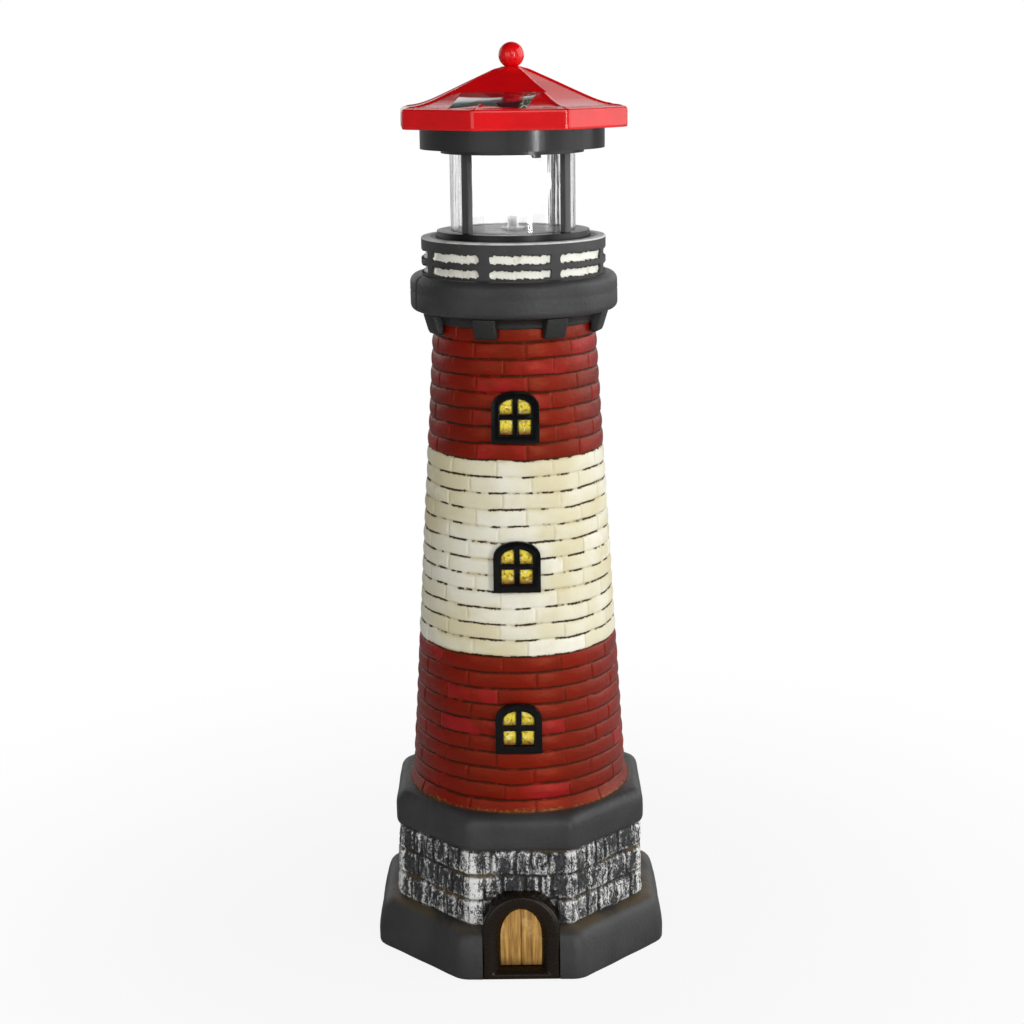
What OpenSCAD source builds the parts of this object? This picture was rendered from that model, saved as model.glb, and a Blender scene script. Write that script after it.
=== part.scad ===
// Garden lighthouse ornament with a solar lamp head that turns its beacon.
// Millimetres, +Z up, door towards -Y, origin in the middle of the footprint.

/* [Plinth] */
// Across flats of the base slab at its foot
slab_af = 120; // [110:1:126]
// Height of the base slab
slab_h = 20; // [17:0.5:22]
// Across flats of the stone wall at its foot
wall_af = 102.8; // [101:0.2:105]
// Height of the stone wall
wall_h = 32; // [30:1:34]
// Across flats of the ledge over the wall
ledge_af = 103.4; // [102:0.2:106]
// Height of the ledge
ledge_h = 15; // [13:0.5:17]
// Courses of stone in the wall
stone_rows = 3; // [2:1:4]

/* [Shaft] */
// Radius of the shaft at its foot, above the flare
foot_r = 44.9; // [43:0.1:46]
// Radius of the shaft under the gallery
neck_r = 33.0; // [32.6:0.1:34]
// Height of one course of bricks
course_h = 6.6; // [6.5:0.05:6.7]
// Courses below the white band, in it and above it
courses = [10, 12, 7]; // [0:1:20]
// Bricks in one course
bricks = 10; // [8:1:12]
// Depth of the joints between bricks
joint_d = 0.7; // [0.4:0.1:1]
// Width of the joints between bricks
joint_w = 0.9; // [0.6:0.1:1.2]
// Wall of the hollow casting
cast_wall = 5; // [4:0.5:6]

/* [Windows and door] */
// Heights of the middles of the three windows
window_z = [102, 168, 227.5]; // [90:0.5:240]
// Width of a window frame
window_w = 18.8; // [17:0.2:20]
// Height of a window frame
window_h = 20.6; // [19:0.2:22]
// Width of the frame's border
window_border = 3; // [2:0.1:3.5]
// Width of the door surround
portal_w = 31.6; // [28:0.2:34]
// Height of the door surround
portal_h = 35; // [32:0.5:37]
// Width of the door leaf
door_w = 17; // [15:0.2:19]
// Heights of the door leaf's foot and top
door_z = [4.4, 29]; // [3:0.1:31]

/* [Gallery] */
// Radius of the gallery's ledge
gallery_r = 41.7; // [40:0.1:43]
// Radius of the railing drum
rail_r = 36.9; // [35.5:0.1:38]
// Height of the railing's rim above the ground
rim_z = 295; // [294:0.5:296]
// Turn of the gallery and of the lamp head about the tower
head_turn = 4; // [0:0.5:8]
// Posts of the railing
rail_posts = 8; // [6:1:10]

/* [Lamp head] */
// Radius of the lamp's base disc
disc_r = 30.5; // [30:0.1:30.7]
// Radius of the clear tube
tube_r = 24.9; // [24:0.1:25.2]
// Wall of the clear tube
tube_wall = 1.5; // [1:0.1:2]
// Radius of the battery housing
housing_r = 36.6; // [36:0.1:37]
// Across flats of the roof
roof_af = 87.4; // [86:0.2:90]
// Wall of the roof moulding
roof_wall = 1.9; // [1.6:0.1:2.2]
// Radius of the ball on the roof
ball_r = 5.05; // [4:0.05:6]
// Radius of the turning reflector's rim
dish_r = 15.3; // [13:0.1:16]

/* [Gears] */
// Module of the gears
gear_m = 0.5; // [0.5:0.05:0.5]
// Teeth of the output gear on the reflector's shaft
output_teeth = 30; // [30:1:30]
// Teeth of the idler's small and large gears
idler_teeth = [10, 28]; // [8:1:30]
// Teeth of the motor's pinion
pinion_teeth = 8; // [8:1:8]

/* [Hidden] */

$fn = 96;
eps = 0.01;
// Play between pieces that are glued or dropped into each other
fit = 0.05;
loose = 0.3;

// Colours of the finishes
stone_grey = [0.28, 0.29, 0.31];
brick_red = [0.55, 0.12, 0.09];
band_cream = [0.87, 0.85, 0.74];
gloss_black = [0.05, 0.05, 0.055];
pane_yellow = [0.85, 0.78, 0.25];
portal_brown = [0.17, 0.12, 0.09];
door_ochre = [0.74, 0.57, 0.32];
roof_red = [0.80, 0.08, 0.08];
satin_black = [0.10, 0.10, 0.105];
clear = [0.90, 0.93, 0.95, 0.35];
steel = [0.70, 0.70, 0.72];
board_green = [0.10, 0.35, 0.18];
gear_white = [0.88, 0.88, 0.85];

// Heights of the tower's levels
wall_top = slab_h + wall_h;
plinth_top = wall_top + ledge_h;
course_0 = plinth_top - 2;
band_0 = course_0 + courses[0] * course_h;
band_1 = band_0 + courses[1] * course_h;
shaft_top = 258;
foot_flare_h = 5;
foot_flare = 1.7;
spigot_r = 41.5;
spigot_h = 5;
foot_z = plinth_top - spigot_h;
plinth_bore_r = 45;
neck_bore_r = neck_r - cast_wall;
foot_bore_r = 39;
taper = atan((foot_r - neck_r) / (shaft_top - plinth_top - foot_flare_h));

// Radius of the brick face at height z
function shaft_r(z) =
    let (k = (z - plinth_top - foot_flare_h) / (shaft_top - plinth_top - foot_flare_h))
    z < plinth_top + foot_flare_h
        ? foot_r + foot_flare * pow(1 - (z - plinth_top) / foot_flare_h, 2)
        : foot_r + k * (neck_r - foot_r);

// Half width of an octagon's side for a given distance from its middle to a side
function half_side(half_flat) = half_flat * tan(22.5);

// Outline of an octagon with round corners, 4 points to a corner, at height z
function octagon_ring(half_flat, corner, z) =
    let (centre = (half_flat - corner) / cos(22.5))
    [for (k = [0:7], s = [-22.5, -7.5, 7.5, 22.5])
        let (a = 22.5 + 45 * k)
        [centre * cos(a) + corner * cos(a + s), centre * sin(a) + corner * sin(a + s), z]];

// Solid through a stack of rings that all have the same number of points.
// A stack that bends has its sides split into triangles, because they aren't flat.
module loft(rings, bends = false) {
    n = len(rings[0]);
    last = (len(rings) - 1) * n;
    polyhedron(
        points = [for (ring = rings, p = ring) p],
        faces = concat(
            [[for (i = [0:n - 1]) i]],
            [for (k = [0:len(rings) - 2], i = [0:n - 1])
                let (j = (i + 1) % n, a = k * n + i, b = a + n, c = k * n + n + j, d = k * n + j)
                each bends ? [[a, b, c], [a, c, d]] : [[a, b, c, d]]],
            [[for (i = [n - 1:-1:0]) last + i]]),
        convexity = 4);
}

// Outline of a door or window: straight sides, and a half ellipse over them
function arch(w, low, high, spring) = concat(
    [[w / 2, low], [w / 2, spring]],
    [for (t = [15:15:165]) [w / 2 * cos(t), spring + (high - spring) * sin(t)]],
    [[-w / 2, spring], [-w / 2, low]]);

// ---------------------------------------------------------------- plinth

// How far the wall leans in over its height, and the angle of that
wall_set_in = 1.1;
wall_lean = atan(wall_set_in / wall_h);

// Height, half across flats and corner radius at each level of the plinth
plinth_levels = [
    [0, slab_af / 2 - 0.6, 9], [1, slab_af / 2, 9], [slab_h - 14, slab_af / 2, 9],
    [slab_h - 5, slab_af / 2 - 1.4, 8.5], [slab_h - 1.6, slab_af / 2 - 2.9, 8],
    [slab_h - 0.3, slab_af / 2 - 4.8, 7], [slab_h, wall_af / 2, 3.5],
    [wall_top, wall_af / 2 - wall_set_in, 3.5], [wall_top + 0.6, ledge_af / 2 - 0.7, 5],
    [wall_top + 2.4, ledge_af / 2, 6], [plinth_top - 4.6, ledge_af / 2, 6],
    [plinth_top - 1.9, ledge_af / 2 - 0.9, 6], [plinth_top - 0.5, ledge_af / 2 - 2.4, 5.5],
    [plinth_top, ledge_af / 2 - 4, 5]];

// Joints between the stones of one side of the wall, cut from outside
module stone_joints(side) {
    row_h = wall_h / stone_rows;
    half_w = half_side(wall_af / 2);
    for (row = [1:stone_rows - 1])
        translate([-half_w - 1, -4, row * row_h - joint_w / 2])
            cube([2 * half_w + 2, 4 + joint_d, joint_w]);
    for (row = [0:stone_rows - 1]) {
        stones = 4 + (side + 2 * row) % 3;
        for (i = [1:stones - 1]) {
            shift = 1.6 * sin(side * 71 + row * 133 + i * 97);
            translate([half_w * (2 * i / stones - 1) + shift, -4, row * row_h + 0.1])
                cube([joint_w, 4 + joint_d, row_h - 0.1]);
        }
    }
}

module plinth() {
    color(stone_grey)
    difference() {
        loft([for (l = plinth_levels) octagon_ring(l[1], l[2], l[0])]);
        translate([0, 0, -1])
            cylinder(r = plinth_bore_r, h = plinth_top - spigot_h - 10 + 1);
        cylinder(r = spigot_r + fit, h = plinth_top + 1);
        for (side = [0:7])
            rotate([0, 0, 45 * side])
                translate([0, -wall_af / 2, slab_h])
                    rotate([-wall_lean, 0, 0])
                        stone_joints(side);
        door_place(-eps)
            linear_extrude(20)
                polygon(arch(portal_w + 2 * fit, -1, portal_h + fit, portal_h * 0.55));
    }
}

// ---------------------------------------------------------------- shaft

// Radius of the hollow at height z
function bore_r(z) =
    foot_bore_r + (neck_bore_r - foot_bore_r) * (z - foot_z) / (shaft_top - foot_z);

// Outer profile of some courses of bricks, each a little crowned between its joints
function brick_profile(first, count) = [
    for (k = [first:first + count - 1])
        let (z = course_0 + k * course_h)
        each [
            if (z > plinth_top) [shaft_r(z) - joint_d, z],
            if (z > plinth_top) [shaft_r(z) - 0.1, z + joint_w * 0.6],
            [shaft_r(z + course_h / 2) + 0.15, z + course_h / 2],
            [shaft_r(z + course_h) - 0.1, z + course_h - joint_w * 0.6]]];

// A band of the shaft with its first course, its courses and the points under and over them
module shaft_zone(first, count, below, above) {
    z0 = len(below) > 0 ? below[0][1] : course_0 + first * course_h;
    z1 = above[len(above) - 1][1];
    difference() {
        rotate_extrude()
            polygon(concat([[bore_r(z0), z0]], below, brick_profile(first, count), above,
                           [[bore_r(z1), z1]]));
        brick_joints(first, count);
        for (z = window_z)
            if (z > z0 && z < z1)
                window_place(z)
                    translate([0, 0, -window_seat])
                        linear_extrude(12)
                            polygon(window_outline(-fit));
    }
}

// Upright joints, half a brick apart from course to course, none quite regular
module brick_joints(first, count) {
    step = 360 / bricks;
    for (k = [first:first + count - 1], i = [0:bricks - 1]) {
        z = course_0 + k * course_h;
        azimuth = i * step + (k % 2 == 0 ? 8 : 8 - step / 2) + 2.5 * sin(k * 97 + i * 57);
        rotate([0, 0, azimuth])
            translate([-joint_w / 2, -shaft_r(z + course_h / 2) - 3, z + joint_w * 0.3])
                cube([joint_w, 3 + joint_d * 0.8, course_h - joint_w * 0.6]);
    }
}

module shaft() {
    foot = [[spigot_r, foot_z], [spigot_r, plinth_top], [foot_r + foot_flare, plinth_top]];
    red_white = [shaft_r(band_0) - joint_d, band_0];
    white_red = [shaft_r(band_1) - joint_d, band_1];
    color(brick_red)
        shaft_zone(0, courses[0], foot, [red_white]);
    color(band_cream)
        shaft_zone(courses[0], courses[1], [], [white_red]);
    color(brick_red)
        shaft_zone(courses[0] + courses[1], courses[2], [], [[neck_r, shaft_top]]);
}

// ---------------------------------------------------------------- windows

window_seat = 2.6;
window_proud = 1.7;
pane_depth = -0.6;
bar_w = 2;

// A window's outline drawn in by d
function window_outline(d) =
    arch(window_w - 2 * d, -window_h / 2 + d, window_h / 2 - d, window_h * 0.2 - d * 0.2);

// Puts a flat drawing on the front of the shaft at height z, leaning with it
module window_place(z) {
    translate([0, -shaft_r(z), z])
        rotate([90 - taper, 0, 0])
            children();
}

module window_frame(z) {
    color(gloss_black)
    window_place(z) {
        difference() {
            translate([0, 0, -window_seat])
                linear_extrude(window_seat + window_proud)
                    polygon(window_outline(0));
            translate([0, 0, -window_seat - 1])
                linear_extrude(window_seat + window_proud + 2)
                    polygon(window_outline(window_border));
        }
        translate([0, 0, pane_depth])
            linear_extrude(window_proud - pane_depth - 0.4)
                intersection() {
                    polygon(window_outline(window_border - eps));
                    union() {
                        square([bar_w, window_h], center = true);
                        square([window_w, bar_w], center = true);
                    }
                }
    }
}

module window_panes(z) {
    color(pane_yellow)
    window_place(z) {
        translate([0, 0, -window_seat])
            linear_extrude(window_seat + pane_depth)
                polygon(window_outline(window_border + fit));
        translate([0, 0, pane_depth - eps])
            linear_extrude(0.8)
                difference() {
                    polygon(window_outline(window_border + 0.35));
                    square([bar_w + 0.6, window_h], center = true);
                    square([window_w, bar_w + 0.6], center = true);
                }
    }
}

// ---------------------------------------------------------------- door

portal_back = 48;
portal_lean = 5.5;
door_face = 55.3;

// Puts a flat drawing on the plinth's front, its zero in front of the bore by d
module door_place(d) {
    translate([0, -portal_back - d, 0])
        rotate([90, 0, 0])
            children();
}

module door_surround() {
    color(portal_brown)
    intersection() {
        door_place(0)
            linear_extrude(slab_af / 2 - portal_back)
                difference() {
                    polygon(arch(portal_w, 0, portal_h, portal_h * 0.55));
                    polygon(arch(door_w, door_z[0], door_z[1], door_z[1] * 0.6));
                }
        translate([-30, -slab_af / 2, 0])
            rotate([-portal_lean, 0, 0])
                translate([0, 0, -10])
                    cube([60, 40, 60]);
    }
}

module door_leaf() {
    plank_w = door_w / 2;
    color(door_ochre)
    difference() {
        door_place(0)
            linear_extrude(door_face - portal_back)
                polygon(arch(door_w - 2 * fit, door_z[0] + fit, door_z[1] - fit, door_z[1] * 0.6));
        translate([-0.35, -door_face - 1, 0])
            cube([0.7, 1.6, portal_h]);
        for (x = [-plank_w / 2, plank_w / 2])
            translate([x - 0.2, -door_face - 1, 0])
                cube([0.4, 1.3, portal_h]);
    }
}

// ---------------------------------------------------------------- gallery

ledge_0 = 266;
ledge_1 = 280.5;
socket_r = 31;
shelf_z = rim_z - 8;
rail_step = 360 / rail_posts;
rail_recess = 1.8;
rail_slots = [[281, 3.6], [286.6, 3.8]];
post_w = 3.8;
key_w = 5;

// Profile of the cove, the round ledge and the railing drum
gallery_profile = concat(
    [[neck_bore_r, shaft_top], [neck_r + 0.5, shaft_top]],
    [for (t = [0:15:75]) [40.2 - 6.7 * cos(t), shaft_top + 0.5 + 7.5 * sin(t)]],
    [for (t = [-75:25:0]) [gallery_r - 2.6 + 2.6 * cos(t), ledge_0 + 2.6 + 2.6 * sin(t)]],
    [for (t = [0:22.5:90]) [gallery_r - 3.4 + 3.4 * cos(t), ledge_1 - 3.4 + 3.4 * sin(t)]],
    [[rail_r, ledge_1], [rail_r, rim_z - 0.6], [rail_r - 0.6, rim_z], [neck_bore_r, rim_z]]);

// Wedges under the cove, seen from the side
bracket_profile = [[neck_r + 0.35, shaft_top - 0.5], [neck_r + 2.6, shaft_top - 0.5],
                   [neck_r + 3.4, shaft_top + 1.2], [neck_r + 5.6, shaft_top + 8],
                   [neck_r + 0.35, shaft_top + 8]];

module gallery() {
    color(stone_grey)
    rotate([0, 0, head_turn])
    difference() {
        union() {
            rotate_extrude()
                polygon(gallery_profile);
            for (k = [0:rail_posts - 1])
                rotate([0, 0, (k + 0.5) * rail_step])
                    translate([0, 4.6, 0])
                        rotate([90, 0, 0])
                            linear_extrude(9.2)
                                polygon(bracket_profile);
        }
        translate([0, 0, shelf_z])
            cylinder(r = socket_r, h = 20);
        translate([-key_w / 2 - loose, 0, shelf_z])
            cube([key_w + 2 * loose, socket_r + 1.5, 20]);
        for (slot = rail_slots)
            difference() {
                translate([0, 0, slot[0]])
                    rotate_extrude()
                        translate([rail_r - rail_recess, 0])
                            square([10, slot[1]]);
                for (k = [0:rail_posts - 1])
                    rotate([0, 0, (k + 0.5) * rail_step])
                        translate([0, -post_w / 2, slot[0] - 1])
                            cube([60, post_w, slot[1] + 2]);
            }
    }
}

// ---------------------------------------------------------------- lamp cage

disc_top = 297.3;
disc_t = 2;
skirt_wall = 1.7;
flange_z = 327.6;
floor_z = 329.3;
floor_t = 1.7;
floor_top = floor_z + floor_t;
flange_r = 28.4;
post_r = 27.1;
cage_post = [3.3, 2.6];
cover_screw_r = 22;
stem_hole_r = 2.6;
post_azimuths = [45, 135, 225, 315];
// The front left post has the leads in it, so no screw
screwed_posts = [45, 135, 225];
lead_post = [315];
cover_azimuths = [0, 120, 240];
lead_hole_r = 0.8;

// Puts children on radius r at each azimuth of a list
module at_azimuths(list, r) {
    for (a = list)
        rotate([0, 0, a])
            translate([0, -r, 0])
                children();
}

// The lamp head is turned about the tower as a whole
module head() {
    rotate([0, 0, head_turn])
        children();
}

module lamp_cage() {
    color(satin_black)
    head()
    difference() {
        union() {
            translate([0, 0, disc_top - disc_t])
                cylinder(r = disc_r, h = disc_t);
            difference() {
                translate([0, 0, shelf_z])
                    cylinder(r = disc_r, h = disc_top - shelf_z);
                translate([0, 0, shelf_z - 1])
                    cylinder(r = disc_r - skirt_wall, h = disc_top - disc_t - shelf_z + 1);
            }
            // key that stops the head turning in the socket
            translate([-key_w / 2, disc_r - 1, shelf_z])
                cube([key_w, 2, 7]);
            // posts round the tube
            at_azimuths(post_azimuths, post_r)
                translate([-cage_post[0] / 2, -cage_post[1] / 2, disc_top - 1])
                    cube([cage_post[0], cage_post[1], flange_z - disc_top + 1]);
            // bosses for the cover's screws
            at_azimuths(cover_azimuths, cover_screw_r)
                translate([0, 0, shelf_z + 2.2])
                    cylinder(r = 2.6, h = disc_top - 1 - shelf_z - 2.2);
        }
        at_azimuths(cover_azimuths, cover_screw_r)
            translate([0, 0, shelf_z])
                cylinder(r = 0.9, h = 6.5, $fn = 24);
        at_azimuths(screwed_posts, post_r)
            translate([0, 0, flange_z - 5])
                cylinder(r = 0.6, h = 6, $fn = 24);
        // channel for the LED's leads in the front left post
        at_azimuths(lead_post, post_r)
            translate([0, 0, disc_top - disc_t - 1])
                cylinder(r = lead_hole_r, h = 40, $fn = 24);
        translate([0, 0, disc_top - disc_t - 1])
            cylinder(r = stem_hole_r, h = disc_t + 2);
        // seat of the tube
        translate([0, 0, disc_top - 0.8])
            difference() {
                cylinder(r = tube_r + fit, h = 2);
                translate([0, 0, -1])
                    cylinder(r = tube_r - tube_wall - fit, h = 4);
            }
    }
}

module base_cover() {
    color(satin_black)
    head()
    difference() {
        translate([0, 0, shelf_z + 0.6])
            cylinder(r = disc_r - skirt_wall - fit, h = 1.6);
        at_azimuths(cover_azimuths, cover_screw_r) {
            translate([0, 0, shelf_z])
                cylinder(r = 1.2, h = 4, $fn = 24);
            translate([0, 0, shelf_z + 0.6 - eps])
                cylinder(r = 2.3, h = 0.8 + eps, $fn = 32);
        }
    }
}

// A pan-head screw pointing up, its head's underside at height 0
module screw(shank_r, shank_l, head_r, head_h) {
    translate([0, 0, -head_h])
        difference() {
            cylinder(r = head_r, h = head_h, $fn = 32);
            translate([-head_r * 0.6, -head_r * 0.12, -1])
                cube([head_r * 1.2, head_r * 0.24, 1 + head_h * 0.5]);
            translate([-head_r * 0.12, -head_r * 0.6, -1])
                cube([head_r * 0.24, head_r * 1.2, 1 + head_h * 0.5]);
        }
    translate([0, 0, -eps])
        cylinder(r = shank_r, h = shank_l, $fn = 24);
}

module cover_screws() {
    color(steel)
    head()
    at_azimuths(cover_azimuths, cover_screw_r)
        translate([0, 0, shelf_z + 1.4])
            screw(0.85, 4.5, 2.1, 0.8);
}

module led_board() {
    color(board_green)
    head()
    translate([0, 0, disc_top - disc_t - 1.2])
        difference() {
            cylinder(r = 8, h = 1.2);
            for (x = [-1.27, 1.27])
                translate([x, 0, -1])
                    cylinder(r = 0.3, h = 4, $fn = 16);
        }
}

led_z = 303.2;

module led_stem() {
    color(clear)
    head()
    difference() {
        rotate_extrude()
            polygon([[0, disc_top - disc_t], [stem_hole_r - fit, disc_top - disc_t],
                     [stem_hole_r - fit, disc_top], [5, disc_top], [5, disc_top + 0.9],
                     [2.3, disc_top + 1.3], [2.1, led_z], [0, led_z]]);
        for (x = [-1.27, 1.27])
            translate([x, 0, disc_top - disc_t - 1])
                cylinder(r = 0.33, h = 12, $fn = 16);
    }
}

module led() {
    color(clear)
    head() {
        translate([0, 0, led_z])
            rotate_extrude()
                polygon(concat([[0, 0], [2.9, 0], [2.9, 0.8], [2.5, 0.8], [2.5, 2.4]],
                               [for (t = [10:10:90]) [2.5 * cos(t), 2.4 + 2.5 * sin(t)]]));
        for (x = [-1.27, 1.27])
            translate([x, 0, disc_top - disc_t - 1.6])
                cylinder(r = 0.25, h = led_z + 0.4 - disc_top + disc_t + 1.6, $fn = 16);
    }
}

module clear_tube() {
    color(clear)
    head()
    translate([0, 0, disc_top - 0.8])
        difference() {
            cylinder(r = tube_r, h = flange_z + 1 - disc_top + 0.8);
            translate([0, 0, -1])
                cylinder(r = tube_r - tube_wall, h = 60);
        }
}

// ---------------------------------------------------------------- upper housing

housing_top = 339.4;
housing_wall = 1.6;
brim_r = 41;
roof_screw_r = 31.6;
roof_screw_azimuths = [60, 180, 300];
shaft_bore_r = 1.56;
// Places of the gear train in the head's own frame
idler_at = [8.66, -5];
pinion_at = idler_at + 9 * [cos(-20), sin(-20)];
plate_z = 337.2;
plate_t = 1.2;
plate_pillars = [[-5, -9.5], [17, 2.5], [13, -15.5]];
board_at = [-20.5, -3];
board_size = [16, 17];
board_z = 335;
board_pillars = [[-26.5, 3.5], [-14.5, -9.5]];
switch_r = 26.6;
switch_azimuth = 16;
knob_w = 3.6;
knob_travel = 2;
battery_y = 14.2;
battery_z = 338.75;
battery_r = 7.25;
battery_l = 50.5;
// Half width and thickness of the battery's contact plates, and where their backs stand
contact_half = 3.6;
contact_t = 0.45;
contact_x = 29.9;
motor_bore_r = 0.8;

// Puts children on the floor over the switch, X along its travel
module switch_place() {
    rotate([0, 0, switch_azimuth])
        translate([0, -switch_r, 0])
            children();
}

module upper_housing() {
    color(satin_black)
    head()
    difference() {
        union() {
            difference() {
                translate([0, 0, floor_z])
                    cylinder(r = housing_r, h = housing_top - floor_z);
                translate([0, 0, floor_top])
                    cylinder(r = housing_r - housing_wall, h = 20);
            }
            // brim that closes the roof from below
            translate([0, 0, housing_top - 1.4])
                difference() {
                    cylinder(r = brim_r, h = 1.4);
                    translate([0, 0, -1])
                        cylinder(r = housing_r - housing_wall, h = 4);
                }
            // flange over the tube and the posts
            translate([0, 0, flange_z])
                difference() {
                    cylinder(r = flange_r, h = floor_z - flange_z + eps);
                    translate([0, 0, -1])
                        cylinder(r = tube_r - tube_wall - 1.2, h = floor_z - flange_z + 1);
                }
            // hub of the reflector's shaft
            translate([0, 0, floor_z - 1.2])
                cylinder(r = 3.4, h = floor_t + 1.2);
            // pillars of the gear plate and of the circuit board
            for (p = plate_pillars)
                translate([p[0], p[1], floor_z])
                    cylinder(r = 1.9, h = plate_z - floor_z);
            for (p = board_pillars)
                translate([p[0], p[1], floor_z])
                    cylinder(r = 1.8, h = board_z - floor_z);
            // walls that hold the battery's contacts
            intersection() {
                for (side = [-1, 1])
                    translate([side * 30.6 - 0.7, battery_y - 4.2, floor_z])
                        cube([1.4, 8.4, 12]);
                translate([0, 0, floor_z])
                    cylinder(r = housing_r - housing_wall / 2, h = 12);
            }
        }
        // bore for the reflector's shaft and the idler's pivot
        translate([0, 0, flange_z - 1])
            cylinder(r = shaft_bore_r, h = 10);
        translate([idler_at[0], idler_at[1], floor_z + 0.5])
            cylinder(r = 0.84, h = 4, $fn = 32);
        // seat of the tube
        translate([0, 0, flange_z - 1])
            difference() {
                cylinder(r = tube_r + fit, h = 2);
                translate([0, 0, -1])
                    cylinder(r = tube_r - tube_wall - fit, h = 4);
            }
        at_azimuths(screwed_posts, post_r) {
            translate([0, 0, flange_z - 1])
                cylinder(r = 0.8, h = 8, $fn = 24);
            translate([0, 0, floor_top - 1.1])
                cylinder(r = 1.75, h = 4, $fn = 32);
        }
        at_azimuths(lead_post, post_r)
            translate([0, 0, flange_z - 1])
                cylinder(r = lead_hole_r, h = 8, $fn = 24);
        at_azimuths(roof_screw_azimuths, roof_screw_r) {
            translate([0, 0, floor_z - 1])
                cylinder(r = 1.3, h = 4, $fn = 24);
            translate([0, 0, floor_z - eps])
                cylinder(r = 2.45, h = 0.8 + eps, $fn = 32);
        }
        for (p = plate_pillars)
            translate([p[0], p[1], plate_z - 5])
                cylinder(r = 0.7, h = 6, $fn = 24);
        for (p = board_pillars)
            translate([p[0], p[1], board_z - 3])
                cylinder(r = 0.7, h = 4, $fn = 24);
        // slot for the switch knob
        switch_place()
            translate([-knob_w / 2 - 0.4, -0.9, flange_z - 1])
                cube([knob_w + knob_travel + 0.8, 1.8, 6]);
    }
}

module cage_screws() {
    color(steel)
    head()
    at_azimuths(screwed_posts, post_r)
        translate([0, 0, floor_top - 1.1])
            rotate([180, 0, 0])
                screw(0.58, 6.2, 1.65, 1);
}

module roof_screws() {
    color(steel)
    head()
    at_azimuths(roof_screw_azimuths, roof_screw_r)
        translate([0, 0, floor_z + 0.8])
            screw(0.9, 9, 2.3, 0.8);
}

module battery() {
    color("seagreen")
    head()
    translate([-battery_l / 2, battery_y, battery_z])
        rotate([0, 90, 0]) {
            cylinder(r = battery_r, h = battery_l - 1.2);
            cylinder(r = 2.7, h = battery_l, $fn = 48);
        }
}

// Cone spring of the battery, one unbroken wire, wide end on the contact wall
spring_wire = 0.6;
spring_turns = 3;
spring_steps = 12;

module battery_spring() {
    rings = [for (i = [0:spring_turns * spring_steps])
        let (k = i / (spring_turns * spring_steps), a = 360 * spring_turns * k, r = 3.7 - 1.3 * k)
        [for (s = [0:60:300])
            [-29.22 + 3.5 * k + spring_wire / 2 * sin(s),
             battery_y + (r + spring_wire / 2 * cos(s)) * sin(a),
             battery_z + (r + spring_wire / 2 * cos(s)) * cos(a)]]];
    color(steel)
    head() {
        loft(rings);
        translate([-contact_x, battery_y - contact_half, battery_z - contact_half])
            cube([contact_t, 2 * contact_half, 2 * contact_half]);
    }
}

module battery_contact() {
    color(steel)
    head()
    translate([contact_x, battery_y, battery_z])
        rotate([0, -90, 0]) {
            translate([-contact_half, -contact_half, 0])
                cube([2 * contact_half, 2 * contact_half, contact_t]);
            cylinder(r = 2, h = contact_x - battery_l / 2 - fit, $fn = 32);
        }
}

module circuit_board() {
    color(board_green)
    head()
    difference() {
        union() {
            translate([board_at[0] - board_size[0] / 2, board_at[1] - board_size[1] / 2, board_z])
                cube([board_size[0], board_size[1], 1.2]);
            translate([board_at[0] - 2, board_at[1] - 3, board_z + 1.2 - eps])
                cube([4, 5, 1.5]);
            translate([board_at[0] + 4.5, board_at[1] + 3.5, board_z + 1.2 - eps])
                cylinder(r = 1.6, h = 2.6, $fn = 32);
            translate([board_at[0] - 5.5, board_at[1] - 6, board_z + 1.2 - eps])
                cylinder(r = 1.6, h = 2.6, $fn = 32);
        }
        for (p = board_pillars)
            translate([p[0], p[1], board_z - 1])
                cylinder(r = 0.95, h = 4, $fn = 24);
    }
}

module board_screws() {
    color(steel)
    head()
    for (p = board_pillars)
        translate([p[0], p[1], board_z + 1.2])
            rotate([180, 0, 0])
                screw(0.65, 3.8, 1.5, 0.9);
}

module gear_plate() {
    color(gear_white)
    head()
    difference() {
        translate([0, 0, plate_z])
            linear_extrude(plate_t)
                polygon([[-7.5, -12], [-7.5, 4], [-3, 6.5], [14, 6.5], [19.6, 4], [24.5, -4],
                         [24.5, -14], [16, -18], [10, -18]]);
        translate([0, 0, plate_z - 1])
            cylinder(r = shaft_bore_r, h = 4, $fn = 48);
        translate([idler_at[0], idler_at[1], plate_z - 1])
            cylinder(r = 0.84, h = 4, $fn = 32);
        translate([pinion_at[0], pinion_at[1], plate_z - 1])
            cylinder(r = 2.2, h = 4, $fn = 32);
        for (p = plate_pillars)
            translate([p[0], p[1], plate_z - 1])
                cylinder(r = 0.95, h = 4, $fn = 24);
    }
}

module plate_screws() {
    color(steel)
    head()
    for (p = plate_pillars)
        translate([p[0], p[1], plate_z + plate_t])
            rotate([180, 0, 0])
                screw(0.65, 5.2, 1.5, 0.9);
}

module motor() {
    color(steel)
    head()
    translate([pinion_at[0], pinion_at[1], plate_z + plate_t])
        difference() {
            union() {
                cylinder(r = 5.9, h = 7.6);
                cylinder(r = 2.4, h = 8.2);
            }
            translate([0, 0, -1])
                cylinder(r = motor_bore_r, h = 3, $fn = 32);
        }
}

module switch_body() {
    color(steel)
    head()
    switch_place()
        difference() {
            translate([-3.3, -2.2, floor_top])
                cube([8.6, 4.4, 3.6]);
            translate([-knob_w / 2 - 0.4, -0.9, floor_top - 1])
                cube([knob_w + knob_travel + 0.8, 1.8, 2.4]);
        }
}

module switch_knob() {
    color(satin_black)
    head()
    switch_place()
        translate([-knob_w / 2, -0.75, flange_z - 1.2])
            cube([knob_w, 1.5, floor_top + 1.1 - flange_z + 1.2]);
}

// ---------------------------------------------------------------- roof

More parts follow.
